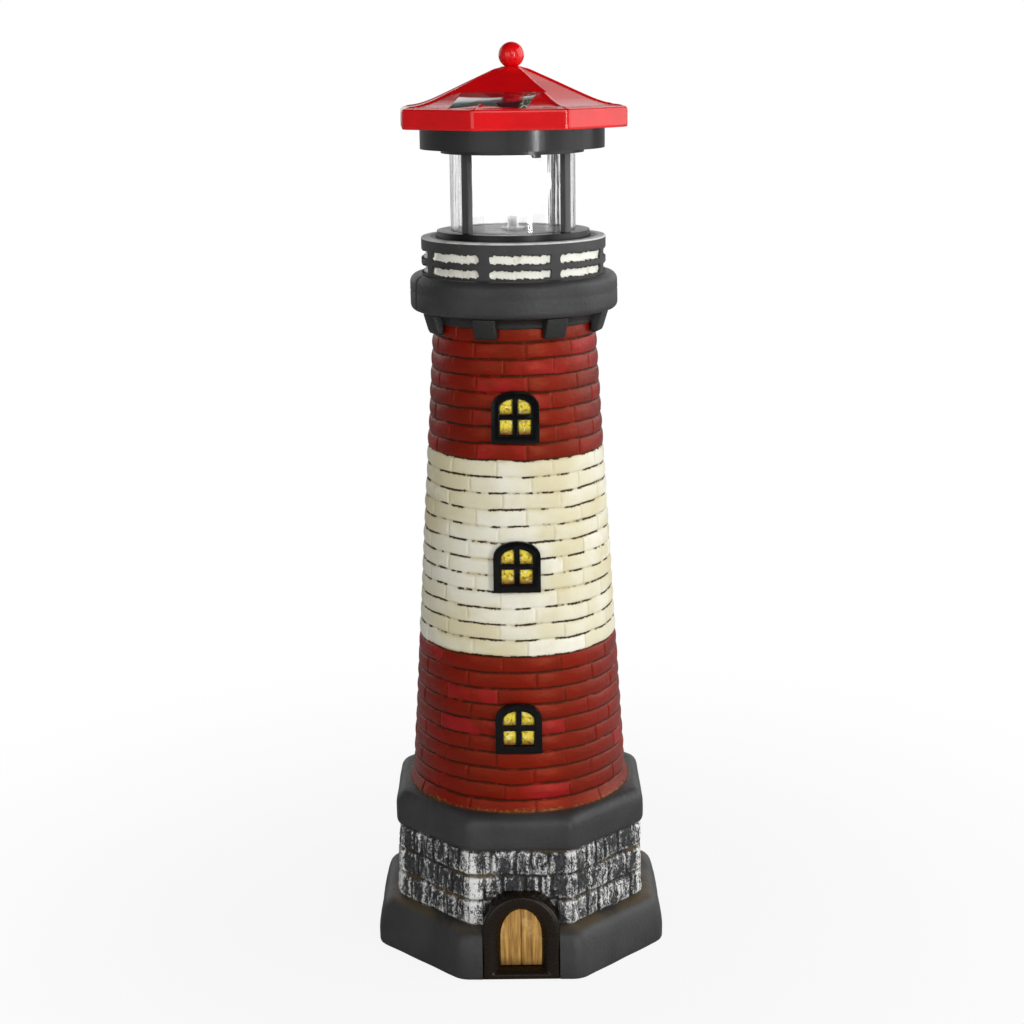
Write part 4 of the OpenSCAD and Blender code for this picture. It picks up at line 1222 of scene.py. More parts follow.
@dataclass
class RingTree(GeometryTree):
    """Copies of a piece turned about the Z axis."""

    def fields(self, g: Graph, socket: Callable[[str], Wire], geometry: Wire) -> Wire:
        """Puts each copy at its turn.

        Args:
            g: The tree.
            socket: Gives the wire of an input: Count copies, the first turned by Phase.
            geometry: The piece that is copied.

        Returns:
            The copies.
        """
        points = g.add("GeometryNodePoints")
        g.link(socket("Count"), points.inputs["Count"])
        index = Wire(g, g.add("GeometryNodeInputIndex").outputs[0])
        turn = socket("Phase") + index * math.tau / socket("Count")
        copies = g.add("GeometryNodeInstanceOnPoints")
        g.link(Wire(g, points.outputs[0]), copies.inputs["Points"])
        g.link(geometry, copies.inputs["Instance"])
        g.link(g.vector(0.0, 0.0, turn), copies.inputs["Rotation"])
        return Wire(g, copies.outputs[0])


# ------------------------------------------------------------------ the tower


@dataclass
class Shaft:
    """The hollow brick shaft, in three bands, with its three windows.

    Attributes:
        foot_z: Height of the spigot's foot.
        plinth_top: Where the shaft leaves the plinth.
        flare_h: Height of the flare at its foot.
        foot_r: Radius over the flare.
        flare: How far the flare goes out.
        top_z: Height at which its radius is neck_r.
        end_z: Height of its top, under the gallery's cove.
        neck_r: Radius near its top.
        course_0: Height of the foot of the lowest course.
        courses: Courses in each band.
        window_z: Heights of the windows' middles.
        window_half: Half the width and height of what a window's frame hides.
        columns: Columns of points round it.
        foot_bore: Radius of the hollow at the spigot's foot.
        neck_bore: Radius of the hollow at the top.
        row_parts: Where rows of points lie within a course, from 0 to 1.
    """

    foot_z: float = 0.062
    plinth_top: float = 0.067
    flare_h: float = 0.005
    foot_r: float = 0.0449
    flare: float = 0.0017
    top_z: float = 0.258
    end_z: float = 0.2626
    neck_r: float = 0.033
    course_0: float = 0.065
    courses: tuple[int, int, int] = (10, 12, 7)
    window_z: tuple[float, float, float] = (0.102, 0.168, 0.2275)
    window_half: tuple[float, float] = (0.0084, 0.0093)
    columns: int = 640
    foot_bore: float = 0.039
    neck_bore: float = 0.028
    row_parts: tuple[float, ...] = (0.0, 0.035, 0.075, 0.125, 0.2, 0.33, 0.5, 0.67, 0.8,
                                    0.875, 0.925, 0.965)

    def radius(self, z: np.ndarray) -> np.ndarray:
        """Radius of the brick face at each height."""
        base = self.plinth_top + self.flare_h
        k = (z - base) / (self.top_z - base)
        flare = self.flare * np.clip(1 - (z - self.plinth_top) / self.flare_h, 0, 1) ** 2
        return self.foot_r + np.maximum(k, 0) * (self.neck_r - self.foot_r) + flare

    def bore(self, z: np.ndarray) -> np.ndarray:
        """Radius of the hollow at each height."""
        k = (z - self.foot_z) / (self.top_z - self.foot_z)
        return self.foot_bore + k * (self.neck_bore - self.foot_bore)

    def band(self, name: str, low: float, high: float, finish: Finish,
             uprights: float) -> bpy.types.Object:
        """Builds one band of the shaft.

        Args:
            name: The piece's name.
            low: Height of its foot.
            high: Height of its top.
            finish: Its paint.
            uprights: Share of the joints' depth that the upright ones have.

        Returns:
            The piece.
        """
        count = int((high - self.course_0) / COURSE_H) + 2
        rows = np.array([self.course_0 + (k + part) * COURSE_H
                         for k in range(count) for part in self.row_parts])
        inside = rows[(rows > low + 0.0001) & (rows < high - 0.0001)]
        z_out = np.concatenate([[low], inside, [high]])
        z_in = np.linspace(high, low, 5)
        z = np.concatenate([z_out, z_in])
        r = np.concatenate([self.radius(z_out), self.bore(z_in)])
        face = np.concatenate([np.ones(len(z_out)), np.zeros(5)])
        if low <= self.plinth_top:
            face[0] = 0
        slack = smooth_step(z, self.plinth_top, self.plinth_top + 0.004)
        slack = slack * (1 - smooth_step(z, self.end_z - 0.004, self.end_z)) * face
        points, outward = turned(r, z, self.columns)
        run = np.degrees(angles(self.columns))
        piece = ring_shell(name, points, {
            "run": run[None, :], "rise": (z - self.course_0)[:, None],
            "face": face[:, None], "slack": slack[:, None],
            "recess": self.recess(points) * face[:, None]}, outward)
        BrickTree("brick courses", {
            "Course Height": COURSE_H, "Joint Width": 0.0007, "Joint Depth": 0.0004,
            "Upright Joints": uprights, "Crown": 0.0004, "Unevenness": 0.0002,
            "Swell": 0.0007, "Grain": 0.00014, "Line Drift": 0.0, "Row Drift": 0.002,
            "Seed": 4.0}).run(piece, finish.material())
        return dress(piece, finish, Body.TOWER, ["shaft"])

    def recess(self, points: np.ndarray) -> np.ndarray:
        """Finds what the windows' frames hide.

        Args:
            points: Array of points.

        Returns:
            One where a frame covers the face, else zero.
        """
        x, y, z = points[..., 0], points[..., 1], points[..., 2]
        half_w, half_h = self.window_half
        inside = np.zeros(x.shape)
        for middle in self.window_z:
            u, v = x / half_w, (z - middle) / half_h
            straight = (np.abs(u) < 1) & (v > -1) & (v < 0.25)
            arch = (v >= 0.25) & (u ** 2 + ((v - 0.25) / 0.75) ** 2 < 1)
            inside = np.where((straight | arch) & (y < 0), 1.0, inside)
        return inside

    def build(self) -> None:
        """Builds the three bands and the windows."""
        first = self.course_0 + self.courses[0] * COURSE_H
        second = first + self.courses[1] * COURSE_H
        self.band("shaft_bricks_lower", self.plinth_top - 0.0006, first, RED_BRICK, 0.8)
        self.band("shaft_bricks_band", first, second, CREAM_BRICK, 0.4)
        self.band("shaft_bricks_upper", second, self.end_z, RED_BRICK, 0.7)
        for level in ("lower", "middle", "upper"):
            node = f"window_frame_{level}"
            dress(rounded_copy(node, node + "_cast", 0.0007, 4), FRAME_BLACK, Body.TOWER,
                  [node])
            node = f"window_panes_{level}"
            panes = rounded_copy(node, node + "_paint", 0.0004, 3)
            self.mark_feet(panes)
            dress(panes, PANE, Body.TOWER, [node])

    def mark_feet(self, panes: bpy.types.Object) -> None:
        """Marks the lower edge of each row of panes for the paint.

        Args:
            panes: The four panes of one window.
        """
        mesh = panes.data
        z = np.array([v.co.z for v in mesh.vertices])
        middle = (z.min() + z.max()) / 2
        half = (z.max() - z.min()) / 2
        part = np.where(z > middle, (z - middle) / half, (z - z.min()) / half)
        layer = mesh.attributes.new("foot", "FLOAT", "POINT")
        layer.data.foreach_set("value", (1 - part).astype(np.float32))


@dataclass
class Plinth:
    """The octagonal slab, the rubble wall on it and the ledge over that, with the door.

    Attributes:
        slab_h: Height of the slab.
        slab_levels: Height, half across flats and corner radius, in millimetres.
        slab_bore: Radius of the slab's bore, in millimetres.
        ledge_levels: The same of the ledge.
        ledge_bore: Radius of the ledge's bore, in millimetres.
        wall_h: Height of the wall.
        wall_half: Half across flats at its foot.
        wall_taper: How much less that is at its top.
        wall_corner: Radius of its corners.
        wall_bore: Radius of its bore.
        side_steps: Points along each side of the wall.
        wall_rows: Rows of points up the wall.
        surround_outer: Half width, foot, top and spring of the door surround's outer edge.
        surround_inner: The same of its inner edge.
        surround_steps: Shares of the way in, and how far back, in millimetres.
        surround_lean: How far the surround leans back, in degrees.
        surround_y: Y of the surround's front at its foot, and of its back.
        doorway: Half width, foot, top and spring of what is cut out of the slab for it.
        doorway_depth: How far in front of the axis that cut begins and ends.
        hidden: Half width and top of what the surround hides of the wall.
    """

    slab_h: float = 0.020
    slab_levels: Levels = (
        (0, 59.4, 9), (0.4, 59.8, 9), (1, 60, 9), (3, 60, 9), (6, 60, 9), (8.5, 59.8, 9),
        (11, 59.4, 8.8), (13.5, 58.9, 8.6), (15.2, 58.4, 8.5), (16.6, 57.9, 8.4),
        (17.8, 57.3, 8.2), (18.7, 56.5, 8), (19.3, 55.7, 7.6), (19.7, 54.8, 7.2),
        (19.95, 53.4, 6), (20, 50.6, 4))
    slab_bore: float = 45.0
    ledge_levels: Levels = (
        (51.7, 49.4, 4), (52.1, 50.3, 4.6), (52.7, 51.05, 5.2), (53.5, 51.5, 5.8),
        (54.5, 51.7, 6), (56.5, 51.75, 6), (59, 51.75, 6), (61.5, 51.7, 6), (63, 51.5, 6),
        (64.2, 51.1, 6), (65.2, 50.5, 5.8), (66, 49.7, 5.6), (66.6, 48.7, 5.3),
        (66.9, 47.6, 5), (67, 46, 5), (67, 44, 5))
    ledge_bore: float = 41.5
    wall_h: float = 0.032
    wall_half: float = 0.0514
    wall_taper: float = 0.0011
    wall_corner: float = 0.0035
    wall_bore: float = 0.045
    side_steps: int = 110
    wall_rows: int = 76
    surround_outer: tuple[float, float, float, float] = (0.0158, 0.0, 0.035, 0.01925)
    surround_inner: tuple[float, float, float, float] = (0.0083, 0.0042, 0.0278, 0.0166)
    surround_steps: Profile = (
        (0, 1.7), (0.01, 1.1), (0.04, 0.6), (0.09, 0.25), (0.16, 0.08), (0.25, 0.0),
        (0.4, 0.0), (0.52, 0.2), (0.64, 0.7), (0.76, 1.5), (0.88, 2.5), (0.96, 3.4),
        (1.0, 4.3))
    surround_lean: float = 5.5
    surround_y: tuple[float, float] = (-0.06, -0.048)
    doorway: tuple[float, float, float, float] = (0.01575, -0.002, 0.03495, 0.01925)
    doorway_depth: tuple[float, float] = (0.0485, 0.07)
    hidden: tuple[float, float] = (0.0152, 0.0345)

    def steps(self, count: int) -> np.ndarray:
        """Places along a side, from -1 to 1, for so many points."""
        return (np.arange(count) + 0.5) / count * 2 - 1

    def build(self) -> None:
        """Builds the three castings and the door."""
        slab = self.smooth_casting("plinth_slab", self.slab_levels, self.slab_bore)
        self.cut_doorway(slab)
        dress(slab, CAST_GREY, Body.TOWER, ["plinth"])
        self.wall()
        ledge = self.smooth_casting("plinth_ledge", self.ledge_levels, self.ledge_bore)
        dress(ledge, CAST_GREY, Body.TOWER, ["plinth"])
        self.surround()
        dress(rounded_copy("door_leaf", "door_leaf_planks", 0.0003, 3), PLANK, Body.TOWER,
              ["door_leaf"])

    def outline(self, half: float, low: float, high: float, spring: float) -> np.ndarray:
        """Outline of a door or its surround, seen from the front.

        Args:
            half: Half its width.
            low: Height of its foot.
            high: Height of its top.
            spring: Where its half ellipse begins.

        Returns:
            Array of 104 points: up the right, over the top, down and back along the foot.
        """
        up = np.linspace(low, spring, 16, endpoint=False)
        t = np.linspace(0, math.pi, 49)[:-1]
        foot = np.linspace(-half, half, 24, endpoint=False)
        right = np.stack([np.full(16, half), up], -1)
        over = np.stack([half * np.cos(t), spring + (high - spring) * np.sin(t)], -1)
        left = np.stack([np.full(16, -half), spring + low - up], -1)
        return np.concatenate([right, over, left, np.stack([foot, np.full(24, low)], -1)])

    def surround(self) -> None:
        """Builds the door's surround: round outside, then a slope in to the leaf."""
        outer = self.outline(*self.surround_outer)
        inner = self.outline(*self.surround_inner)
        lean = math.tan(math.radians(self.surround_lean))
        front_y, back_y = self.surround_y
        rings = []
        for share, back in self.surround_steps:
            flat = outer * (1 - share) + inner * share
            y = front_y + flat[:, 1] * lean + back * MM
            rings.append(np.stack([flat[:, 0], y, flat[:, 1]], -1))
        for flat in (inner, outer):
            rings.append(np.stack([flat[:, 0], np.full(len(flat), back_y), flat[:, 1]], -1))
        points = np.stack(rings)
        piece = ring_shell("door_surround_cast", points, {}, points * 0)
        face_out(piece)
        piece.data.set_sharp_from_angle(angle=math.radians(60))
        dress(piece, PORTAL, Body.TOWER, ["door_surround"])

    def cut_doorway(self, slab: bpy.types.Object) -> None:
        """Cuts the space for the door's surround out of the slab.

        Args:
            slab: The slab.
        """
        upright = Matrix.Rotation(math.radians(90), 4, "X")
        cut_away(slab, prism(self.outline(*self.doorway), *self.doorway_depth, upright))
        slab.data.shade_smooth()
        slab.data.set_sharp_from_angle(angle=math.radians(50))

    def smooth_casting(self, name: str, levels: Levels, bore: float) -> bpy.types.Object:
        """Builds the slab or the ledge.

        Args:
            name: The piece's name.
            levels: Height, half across flats and corner radius, in millimetres.
            bore: Radius of its bore, in millimetres.

        Returns:
            The piece, not dressed yet.
        """
        steps = self.steps(64)
        made = [octagon_ring(half * MM, corner * MM, z * MM, steps)
                for z, half, corner in levels]
        ring = round_ring(made[0][0])
        for z in (levels[-1][0], levels[0][0]):
            made.append((ring * bore * MM + np.array([0, 0, z * MM]), ring * 0))
        points = np.stack([m[0] for m in made])
        outward = np.stack([m[1] for m in made])
        wave = (np.sin(points[..., 0] * 210 + points[..., 2] * 130)
                * np.sin(points[..., 1] * 260 - points[..., 2] * 170 + 1.3))
        points = points + outward * (wave * 0.16 - 0.16)[..., None] * MM
        piece = ring_shell(name, points, {}, outward)
        piece.data.set_sharp_from_angle(angle=math.radians(50))
        return piece

    def wall(self) -> None:
        """Builds the rubble wall."""
        rows = self.wall_rows
        steps = self.steps(self.side_steps)
        z_out = np.linspace(self.slab_h - 0.0006, self.slab_h + self.wall_h + 0.0006, rows)
        made = [octagon_ring(
            self.wall_half - self.wall_taper * (z - self.slab_h) / self.wall_h,
            self.wall_corner, z, steps) for z in z_out]
        ring = round_ring(made[0][0])
        for z in (z_out[-1], z_out[0]):
            made.append((ring * self.wall_bore + np.array([0, 0, z]), ring))
        points = np.stack([m[0] for m in made])
        outward = np.stack([m[1] for m in made])
        face = np.concatenate([np.ones(rows), np.zeros(2)])
        face[[0, rows - 1]] = 0
        side = np.repeat(np.arange(8), self.side_steps)
        half_w, top = self.hidden
        doorway = (np.abs(points[..., 0]) < half_w) & (points[..., 2] < top)
        piece = ring_shell("plinth_wall_stones", points, {
            "run": np.tile(steps, 8)[None, :], "number": side[None, :],
            "rise": np.clip(points[..., 2] - self.slab_h, 0.0002, self.wall_h - 0.0002),
            "face": face[:, None], "slack": np.zeros((1, 1)),
            "recess": (doorway & (points[..., 1] < 0)) * face[:, None]}, outward)
        RubbleTree("rubble courses", {
            "Course Height": self.wall_h / 3, "Joint Width": 0.0013, "Joint Depth": 0.0008,
            "Upright Joints": 1.0, "Crown": 0.0004, "Unevenness": 0.0008, "Swell": 0.0024,
            "Grain": 0.0011, "Line Drift": 0.0026, "Row Drift": 0.0,
            "Seed": 9.0}).run(piece, RUBBLE.material())
        dress(piece, RUBBLE, Body.TOWER, ["plinth"])


@dataclass
class Gallery:
    """The gallery: a round ledge over a cove, the railing drum and the brackets.

    Attributes:
        rail_r: Radius of the drum.
        posts: Posts round it.
        post_w: Width of a post.
        slots: Foot and height of each row of openings.
        recess: Depth of the openings.
        end_r: Radius of the openings' ends.
        seam: Azimuth of the mould's seam down the ledge, in degrees.
        face: Foot and top of the drum's face.
        face_rows: Rows of points up it.
        rim: Radii and heights from the face over the rim, in millimetres.
        bracket_side: Radii and heights of a bracket's outline, in millimetres.
        bracket_half: Half the width of a bracket.
    """

    rail_r: float = 0.0369
    posts: int = 8
    post_w: float = 0.0038
    slots: tuple[tuple[float, float], ...] = ((0.281, 0.0036), (0.2866, 0.0038))
    recess: float = 0.0017
    end_r: float = 0.0015
    seam: float = -68.0
    face: tuple[float, float] = (0.2800, 0.2944)
    face_rows: int = 62
    rim: Profile = ((36.85, 294.7), (36.6, 294.93), (36.2, 295), (31.3, 295), (31.0, 294.8),
                    (31.0, 287.0), (28, 287.0), (28, 280.0))
    bracket_side: Profile = ((33.2, 257.6), (35.5, 257.5), (36.3, 259.0), (38.4, 265.8),
                             (33.2, 265.9))
    bracket_half: float = 0.0046

    def build(self) -> None:
        """Builds the ledge, the drum and the brackets."""
        self.ledge()
        self.drum()
        self.brackets()

    def ledge(self) -> None:
        """Builds the cove and the ledge, with the faint upright seam of its mould."""
        profile = [(28, 261.6), (33.4, 261.6), (33.7, 261.7)]
        profile += [(40.0 - 6.1 * math.cos(math.radians(t)),
                     262.0 + 4.2 * math.sin(math.radians(t))) for t in range(0, 81, 8)]
        profile += [(39.1 + 2.6 * math.cos(math.radians(t)),
                     268.6 + 2.6 * math.sin(math.radians(t))) for t in range(-75, 1, 15)]
        profile += [(41.72, 270.5), (41.75, 273), (41.62, 273.7), (41.75, 274.4), (41.7, 276)]
        profile += [(38.3 + 3.4 * math.cos(math.radians(t)),
                     277.1 + 3.4 * math.sin(math.radians(t))) for t in range(0, 91, 10)]
        profile += [(36.0, 280.5), (28, 280.5)]
        rz = np.array(profile) * MM
        columns = 480
        a = angles(columns)
        points, outward = turned(rz[:, 0], rz[:, 1], columns)
        wave = np.sin(a * 5 + 1)[None, :] * np.sin(points[..., 2] * 300)
        outer = (rz[:, :1] > 0.034).astype(float)
        from_seam = (np.degrees(a) - self.seam + 180) % 360 - 180
        seam = 0.6 * np.exp(-(from_seam / 0.9) ** 2)[None, :]
        points = points - outward * ((0.1 + 0.1 * wave + seam) * outer)[..., None] * MM
        piece = ring_shell("gallery_ledge", points, {}, outward)
        piece.data.set_sharp_from_angle(angle=math.radians(50))
        dress(piece, CAST_GREY, Body.TOWER, ["gallery"])

    def drum(self) -> None:
        """Builds the drum with its two rows of openings sunk between the posts."""
        columns, rows = 960, self.face_rows
        z = np.concatenate([np.linspace(*self.face, rows), [p[1] * MM for p in self.rim]])
        r = np.concatenate([np.full(rows, self.rail_r), [p[0] * MM for p in self.rim]])
        a = angles(columns)
        step = 360 / self.posts
        from_post = (np.degrees(a) - HEAD_TURN - step / 2) % step
        arc = np.radians(np.minimum(from_post, step - from_post)) * self.rail_r
        shift = 0.00016 * np.sin(a * 23 + 2) + 0.00012 * np.sin(a * 61 + z[:, None] * 900)
        stray = 0.00014 * np.sin(a * 83 + z[:, None] * 2100) + 0.0001 * np.sin(a * 147)
        past_end = np.maximum(self.end_r + self.post_w / 2 - arc, 0)
        sunk = np.zeros((len(z), columns))
        for foot, height in self.slots:
            off = np.abs(z[:, None] - foot - height / 2 + shift)
            past_side = np.maximum(off - height / 2 + self.end_r, 0)
            inside = self.end_r - np.hypot(past_end, past_side) + stray
            sunk = np.maximum(sunk, smooth_step(inside, 0.0, 0.0007))
        sunk[rows:] = 0
        points, outward = turned(r[:, None] - sunk * self.recess, z, columns)
        piece = ring_shell("gallery_railing", points, {"slot": sunk}, outward)
        piece.data.set_sharp_from_angle(angle=math.radians(60))
        dress(piece, RAIL_GREY, Body.TOWER, ["gallery"])

    def brackets(self) -> None:
        """Builds one bracket and repeats it round the cove."""
        side = self.bracket_side
        work = bmesh.new()
        faces = []
        for x in (-self.bracket_half, self.bracket_half):
            faces.append([work.verts.new((x, -r * MM, z * MM)) for r, z in side])
        work.faces.new(faces[0])
        work.faces.new(faces[1][::-1])
        for i in range(len(side)):
            j = (i + 1) % len(side)
            work.faces.new([faces[0][j], faces[0][i], faces[1][i], faces[1][j]])
        bmesh.ops.recalc_face_normals(work, faces=work.faces)
        bmesh.ops.bevel(work, geom=list(work.edges), offset=0.0007, segments=3, profile=0.5,
                        affect="EDGES")
        mesh = bpy.data.meshes.new("gallery_brackets")
        work.to_mesh(mesh)
        work.free()
        piece = link_piece("gallery_brackets", mesh)
        phase = math.radians(HEAD_TURN + 180 / self.posts)
        RingTree("bracket ring", {"Count": float(self.posts), "Phase": phase}).run(
            piece, CAST_GREY.material())
        dress(piece, CAST_GREY, Body.TOWER, ["gallery"])


# ------------------------------------------------------------------ the lamp head


@dataclass
class LampHead:
    """The lamp head: roof, ball, solar panel, housing, cage, tube, LED and reflector.

    Attributes:
        flat_line: How far out and how high the flat's lines are, in millimetres.
        flat_half: Half its width, in millimetres.
        panel_size: Width and length of the panel's pocket, in millimetres.
        roof_levels: Distance down a hip, height and corner radius, in millimetres.
        wall: Thickness of the roof's wall, in millimetres.
        foot_z: Height of the roof's foot, in millimetres.
        ridge: Width and height of the ridge along each hip, in millimetres.
        ball_z: Height of the ball's middle, in millimetres.
        ball_r: Radius of the ball, in millimetres.
    """

    flat_line: Profile = ((3.9, 360.7), (17, 351.1), (37.2, 345.2))
    flat_half: float = 18.5
    panel_size: tuple[float, float] = (30.6, 20.5)
    roof_levels: Levels = (
        (46.5, 337.4, 3.0), (47.1, 337.55, 3.2), (47.3, 338.1, 3.2), (47.3, 344.2, 3.2),
        (47.2, 344.7, 3.2), (46.85, 345.1, 3.2), (46.3, 345.28, 3.1), (44, 345.45, 2.8),
        (41.6, 345.7, 2.4), (39.5, 346.1, 2.0), (37.4, 346.65, 1.6), (35.2, 347.35, 1.4),
        (33, 348.15, 1.2), (30, 349.4, 1.1), (26, 351.1, 1.0), (22, 352.85, 1.0),
        (18, 354.6, 0.9), (14, 356.3, 0.9), (10, 358.0, 0.8), (7, 359.3, 0.8),
        (5.6, 359.9, 0.8), (4.6, 360.35, 0.8), (4.1, 360.6, 0.8), (1.7, 360.7, 0.5))
    wall: float = 1.9
    foot_z: float = 337.4
    ridge: tuple[float, float] = (0.95, 0.55)
    ball_z: float = 365.0
    ball_r: float = 5.05

    def build(self) -> None:
        """Builds the roof, the ball and copies of the head's shown pieces."""
        self.roof()
        self.ball()
        panel = rounded_copy("solar_panel", "solar_panel_coated", 0.0004, 3)
        dress(panel, SOLAR, Body.HEAD, ["solar_panel"])
        for node, name, bevel, finish, body in (
                ("upper_housing", "upper_housing_moulding", 0.0005, HEAD_BLACK, Body.HEAD),
                ("lamp_cage", "lamp_cage_moulding", 0.0003, CAGE_BLACK, Body.HEAD),
                ("clear_tube", "clear_tube_smooth", 0.0, CLEAR, Body.HEAD),
                ("led_stem", "led_stem_smooth", 0.0, STEM, Body.HEAD),
                ("led", "led_lit", 0.0, GLOW, Body.HEAD),
                ("switch_knob", "switch_knob_moulding", 0.0003, HEAD_BLACK, Body.SWITCH),
                ("reflector_dish", "reflector_dish_smooth", 0.0, DISH_PAINTED_GLOW, Body.REFLECTOR)):
            dress(rounded_copy(node, name, bevel), finish, body, [node])

    def fine_levels(self) -> np.ndarray:
        """Gives the roof's levels with others between, 0.9 mm apart at most."""
        given = np.array(self.roof_levels)
        along = np.concatenate([[0], np.cumsum(np.hypot(*np.diff(given[:, :2], axis=0).T))])
        fine = np.unique(np.concatenate([along, np.arange(0, along[-1], 0.9)]))
        return np.stack([np.interp(fine, along, given[:, i]) for i in range(3)], -1)

    def under_flat(self, points: np.ndarray) -> np.ndarray:
        """Lowers the roof's inner face to keep its wall under the flat.

        Args:
            points: Array of points of the inner face, in millimetres.

        Returns:
            Their new heights.
        """
        a = math.radians(FLAT_AZIMUTH - HEAD_TURN)
        out = points[:, 0] * math.sin(a) - points[:, 1] * math.cos(a)
        across = points[:, 0] * math.cos(a) + points[:, 1] * math.sin(a)
        limit = np.interp(out, *zip(*self.flat_line)) - self.wall
        near = (np.abs(across) < self.flat_half + 2.2) & (out > 0) & (out < 39.5)
        return np.where(near, np.minimum(points[:, 2], limit), points[:, 2])

    def roof(self) -> None:
        """Builds the roof with its raised hips, and cuts the flat and the panel's pocket."""
        count = 44
        even = (np.arange(count) + 0.5) / count * 2 - 1
        steps = np.sign(even) * (1 - (1 - np.abs(even)) ** 1.5)
        cos_half = math.cos(math.radians(22.5))
        ridge_w, ridge_h = self.ridge
        levels = self.fine_levels()
        rings = []
        for hip, z, corner in levels:
            points, _ = octagon_ring(hip * cos_half, corner, z, steps)
            from_hip = (1 - np.abs(np.tile(steps, 8))) * hip * cos_half * OCTAGON
            ridge = np.exp(-(from_hip / ridge_w) ** 2) * ridge_h
            ridge *= smooth_step(np.array(46.9 - hip), 0, 3) * smooth_step(np.array(hip), 4, 8)
            points[:, 2] += ridge
            rings.append(points)
        for hip, z, corner in levels[::-1]:
            inner = max(hip - (self.wall if hip > 40 else 1.2), 1.2)
            height = max(z - (self.wall if hip > 5 else 2.2), self.foot_z)
            points, _ = octagon_ring(inner * cos_half, min(corner, inner * 0.3), height, steps)
            points[:, 2] = np.maximum(self.under_flat(points), self.foot_z)
            rings.append(points)
        turn = Matrix.Rotation(math.radians(HEAD_TURN), 3, "Z")
        points = np.stack(rings) @ np.array(turn).T * MM
        shell = ring_shell("roof_moulding", points, {}, points * 0)
        self.cut_flat(shell)
        shell.data.shade_smooth()
        shell.data.set_sharp_from_angle(angle=math.radians(24))
        dress(shell, ROOF_RED, Body.HEAD, ["roof"])

    def cut_flat(self, shell: bpy.types.Object) -> None:
        """Cuts the flat for the solar panel, and the pocket that the panel lies in.

        Args:
            shell: The roof.
        """
        turn = Matrix.Rotation(math.radians(FLAT_AZIMUTH), 4, "Z")
        head, knee, foot = (np.array(p) * MM for p in self.flat_line)
        side = [tuple(head), tuple(knee), tuple(foot), (foot[0], 0.362), (head[0], 0.362)]
        upright = Matrix(((0, 0, -1, 0), (-1, 0, 0, 0), (0, 1, 0, 0), (0, 0, 0, 1)))
        half = self.flat_half * MM
        cut_away(shell, prism(side, -half, half, turn @ upright))
        slope = (foot - knee) / np.linalg.norm(foot - knee)
        half_w, half_l = self.panel_size[0] / 2 * MM, self.panel_size[1] / 2 * MM
        out, height = knee + slope * half_l
        place = (turn @ Matrix.Translation((0, -out, height))
                 @ Matrix.Rotation(math.atan2(-slope[1], slope[0]), 4, "X"))
        cut_away(shell, prism([(-half_w, -half_l), (half_w, -half_l), (half_w, half_l),
                               (-half_w, half_l)], -0.004, 0.001, place))

    def ball(self) -> None:
        """Builds the ball on its neck."""
        profile = [(0.4, 356.2), (1.5, 356.2), (1.55, 360.6), (2.9, 360.7), (2.65, 361.0)]
        profile += [(self.ball_r * math.cos(math.radians(t)),
                     self.ball_z + self.ball_r * math.sin(math.radians(t)))
                    for t in range(-56, 88, 4)]
        profile += [(0.05, self.ball_z + self.ball_r), (0.04, self.ball_z)]
        rz = np.array(profile) * MM
        points, _ = turned(rz[:, 0], rz[:, 1], 64)
        dress(ring_shell("ball_finial_smooth", points, {}, points * 0), ROOF_RED, Body.HEAD,
              ["ball_finial"])


# ------------------------------------------------------------------ studio


@dataclass(frozen=True)
class Lamp:
    """A soft light, wide and high, that faces the object's middle.

    Attributes:
        name: Its name.
        place: Where it is.
        size: Its width and height.
        power: Its power in watts.
    """

    name: str
    place: tuple[float, float, float]
    size: tuple[float, float]
    power: float


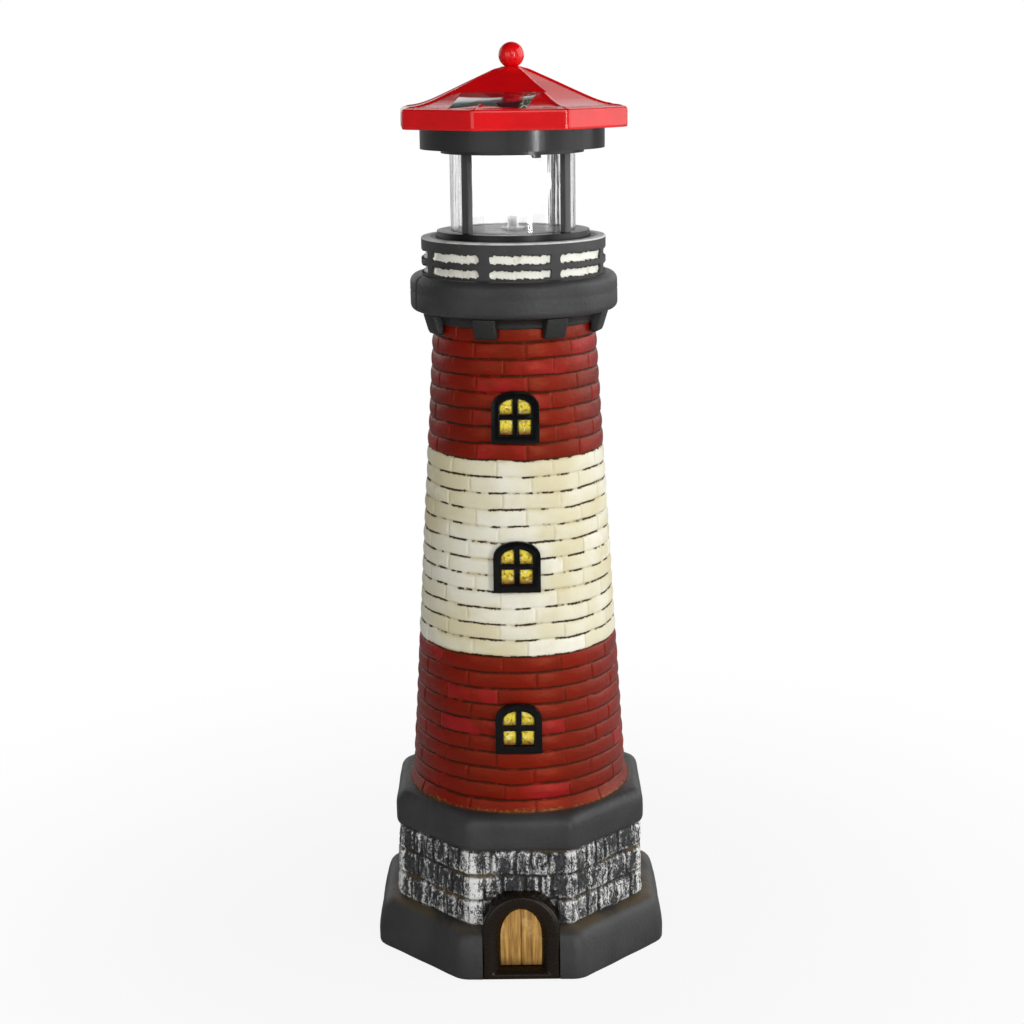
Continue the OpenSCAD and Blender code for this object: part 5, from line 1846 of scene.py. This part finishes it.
@dataclass
class Studio:
    """Floor, lights, world and camera.

    Attributes:
        lamps: The lights.
        aim_z: Height that they face.
        daylight: Strength of the world's light.
        mirrored: Strength of what glossy parts mirror in front.
        horizon: Upward parts of a direction between which the bright part behind fades.
        floor_near: Share of white that the floor shows near the object.
        camera_at: Place of the camera.
        pitch: How far it looks down, in degrees.
        roll: Its turn about the view, in degrees.
        yaw: Its turn about the upright, in degrees.
        lens: Focal length for a 36 mm frame.
    """

    lamps: tuple[Lamp, ...] = (
        Lamp("side_light", (1.3, 0.0, 0.7), (1.5, 1.35), 14.0),
        Lamp("front_light", (0.3, -1.35, 0.8), (0.6, 0.6), 2.8),
        Lamp("strip_light", (0.57, -1.0, 0.3), (0.05, 0.7), 4.2),
        Lamp("left_light", (-0.72, -1.15, 0.45), (1.1, 0.8), 4.2))
    aim_z: float = 0.19
    daylight: float = 0.32
    mirrored: float = 0.13
    horizon: tuple[float, float] = (0.48, 0.56)
    floor_near: float = 0.89
    camera_at: tuple[float, float, float] = (0.0, -0.765, 0.3646)
    pitch: float = 13.5
    roll: float = -0.68
    yaw: float = 0.136
    lens: float = 66.8

    def build(self) -> None:
        """Builds the studio and sets the view transform."""
        self.floor()
        self.ceiling()
        self.world()
        for lamp in self.lamps:
            self.light(lamp)
        self.camera()
        bpy.context.scene.view_settings.view_transform = "Standard"

    def flat_piece(self, name: str, low: Sequence[float], high: Sequence[float],
                   z: float) -> bpy.types.Object:
        """Makes a level rectangle for the studio.

        Args:
            name: Its name.
            low: X and Y of its nearer left corner.
            high: X and Y of its farther right corner.
            z: Its height.

        Returns:
            The rectangle.
        """
        mesh = bpy.data.meshes.new(name)
        mesh.from_pydata([(low[0], low[1], z), (high[0], low[1], z), (high[0], high[1], z),
                          (low[0], high[1], z)], [], [(0, 1, 2, 3)])
        piece = link_piece(name, mesh)
        return piece

    def ceiling(self) -> None:
        """Hangs a dark card above, for the dark that the glossy parts mirror."""
        piece = self.flat_piece("studio_ceiling", (-1.5, -0.6), (1.5, 1.5), 1.5)
        material = bpy.data.materials.new("studio_ceiling_dark")
        material.use_nodes = True
        shader = material.node_tree.nodes["Principled BSDF"]
        shader.inputs["Base Color"].default_value = (0.04, 0.04, 0.04, 1)
        shader.inputs["Roughness"].default_value = 1.0
        piece.data.materials.append(material)

    def floor(self) -> None:
        """Makes the pale floor, which keeps the object's shadow."""
        piece = self.flat_piece("studio_floor", (-12.0, -12.0), (12.0, 12.0), 0.0)
        material = bpy.data.materials.new("studio_floor_pale")
        material.use_nodes = True
        g = Graph(material.node_tree)
        shader = material.node_tree.nodes["Principled BSDF"]
        shader.inputs["Base Color"].default_value = (0.6, 0.6, 0.6, 1)
        shader.inputs["Roughness"].default_value = 0.9
        light = g.add("ShaderNodeEmission")
        path = g.add("ShaderNodeLightPath")
        seen = Wire(g, path.outputs["Is Camera Ray"]).most(
            Wire(g, path.outputs["Is Transmission Ray"]))
        blend = g.add("ShaderNodeMixShader")
        x, y, _ = g.xyz(g.place())
        far = g.radius(x, y).smooth(0.06, 0.4)
        g.link(seen * (far * (1 - self.floor_near) + self.floor_near), blend.inputs[0])
        g.link(Wire(g, shader.outputs[0]), blend.inputs[1])
        g.link(Wire(g, light.outputs[0]), blend.inputs[2])
        g.link(Wire(g, blend.outputs[0]),
               material.node_tree.nodes["Material Output"].inputs["Surface"])
        piece.data.materials.append(material)

    def world(self) -> None:
        """Makes the world: soft grey light, seen as white, mirrored bright only behind."""
        world = bpy.data.worlds.new("studio_world")
        world.use_nodes = True
        bpy.context.scene.world = world
        g = Graph(world.node_tree)
        lit = world.node_tree.nodes["Background"]
        lit.inputs["Color"].default_value = (1, 1, 1, 1)
        direction = Wire(g, g.add("ShaderNodeTexCoord").outputs["Generated"])
        _, back, up = g.xyz(direction)
        behind = back.smooth(0.2, 0.6) * (1.0 - up.smooth(*self.horizon))
        path = g.add("ShaderNodeLightPath")
        glossy = Wire(g, path.outputs["Is Glossy Ray"])
        g.link(glossy * (behind + (self.mirrored - self.daylight)) + self.daylight,
               lit.inputs["Strength"])
        seen = g.add("ShaderNodeBackground")
        seen.inputs["Color"].default_value = (1, 1, 1, 1)
        seen.inputs["Strength"].default_value = 1.0
        share = Wire(g, path.outputs["Is Camera Ray"]).most(
            Wire(g, path.outputs["Is Transmission Ray"]))
        blend = g.add("ShaderNodeMixShader")
        g.link(share, blend.inputs[0])
        g.link(Wire(g, lit.outputs[0]), blend.inputs[1])
        g.link(Wire(g, seen.outputs[0]), blend.inputs[2])
        g.link(Wire(g, blend.outputs[0]), world.node_tree.nodes["World Output"].inputs[0])

    def light(self, lamp: Lamp) -> None:
        """Adds one of the lights.

        Args:
            lamp: The light.
        """
        data = bpy.data.lights.new(lamp.name, "AREA")
        data.shape = "RECTANGLE"
        data.size, data.size_y = lamp.size
        data.energy = lamp.power
        piece = bpy.data.objects.new(lamp.name, data)
        bpy.context.scene.collection.objects.link(piece)
        piece.location = lamp.place
        aim = Vector((0, 0, self.aim_z)) - Vector(lamp.place)
        piece.rotation_euler = aim.to_track_quat("-Z", "Y").to_euler()

    def camera(self) -> None:
        """Adds the camera at the photograph's angle."""
        data = bpy.data.cameras.new("camera")
        data.lens = self.lens
        data.sensor_width = 36.0
        data.clip_start = 0.05
        piece = bpy.data.objects.new("camera", data)
        bpy.context.scene.collection.objects.link(piece)
        piece.matrix_world = (
            Matrix.Translation(self.camera_at)
            @ Matrix.Rotation(math.radians(self.yaw), 4, "Z")
            @ Matrix.Rotation(math.radians(90 - self.pitch), 4, "X")
            @ Matrix.Rotation(math.radians(self.roll), 4, "Z"))
        bpy.context.scene.camera = piece


def dress_frame() -> None:
    """Gives each node of the frame its finish."""
    for finish, names in NODE_FINISHES.items():
        for name in names:
            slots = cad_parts[name].material_slots
            if not slots:
                LOG.warning("%s has no material slot", name)
            for each in slots:
                each.material = finish.material()


def main() -> None:
    """Builds the whole scene."""
    logging.basicConfig(level=logging.INFO, format="%(name)s: %(message)s")
    dress_frame()
    Shaft().build()
    Plinth().build()
    Gallery().build()
    LampHead().build()
    Studio().build()
    bpy.context.view_layer.update()


if __name__ == "__main__":
    main()
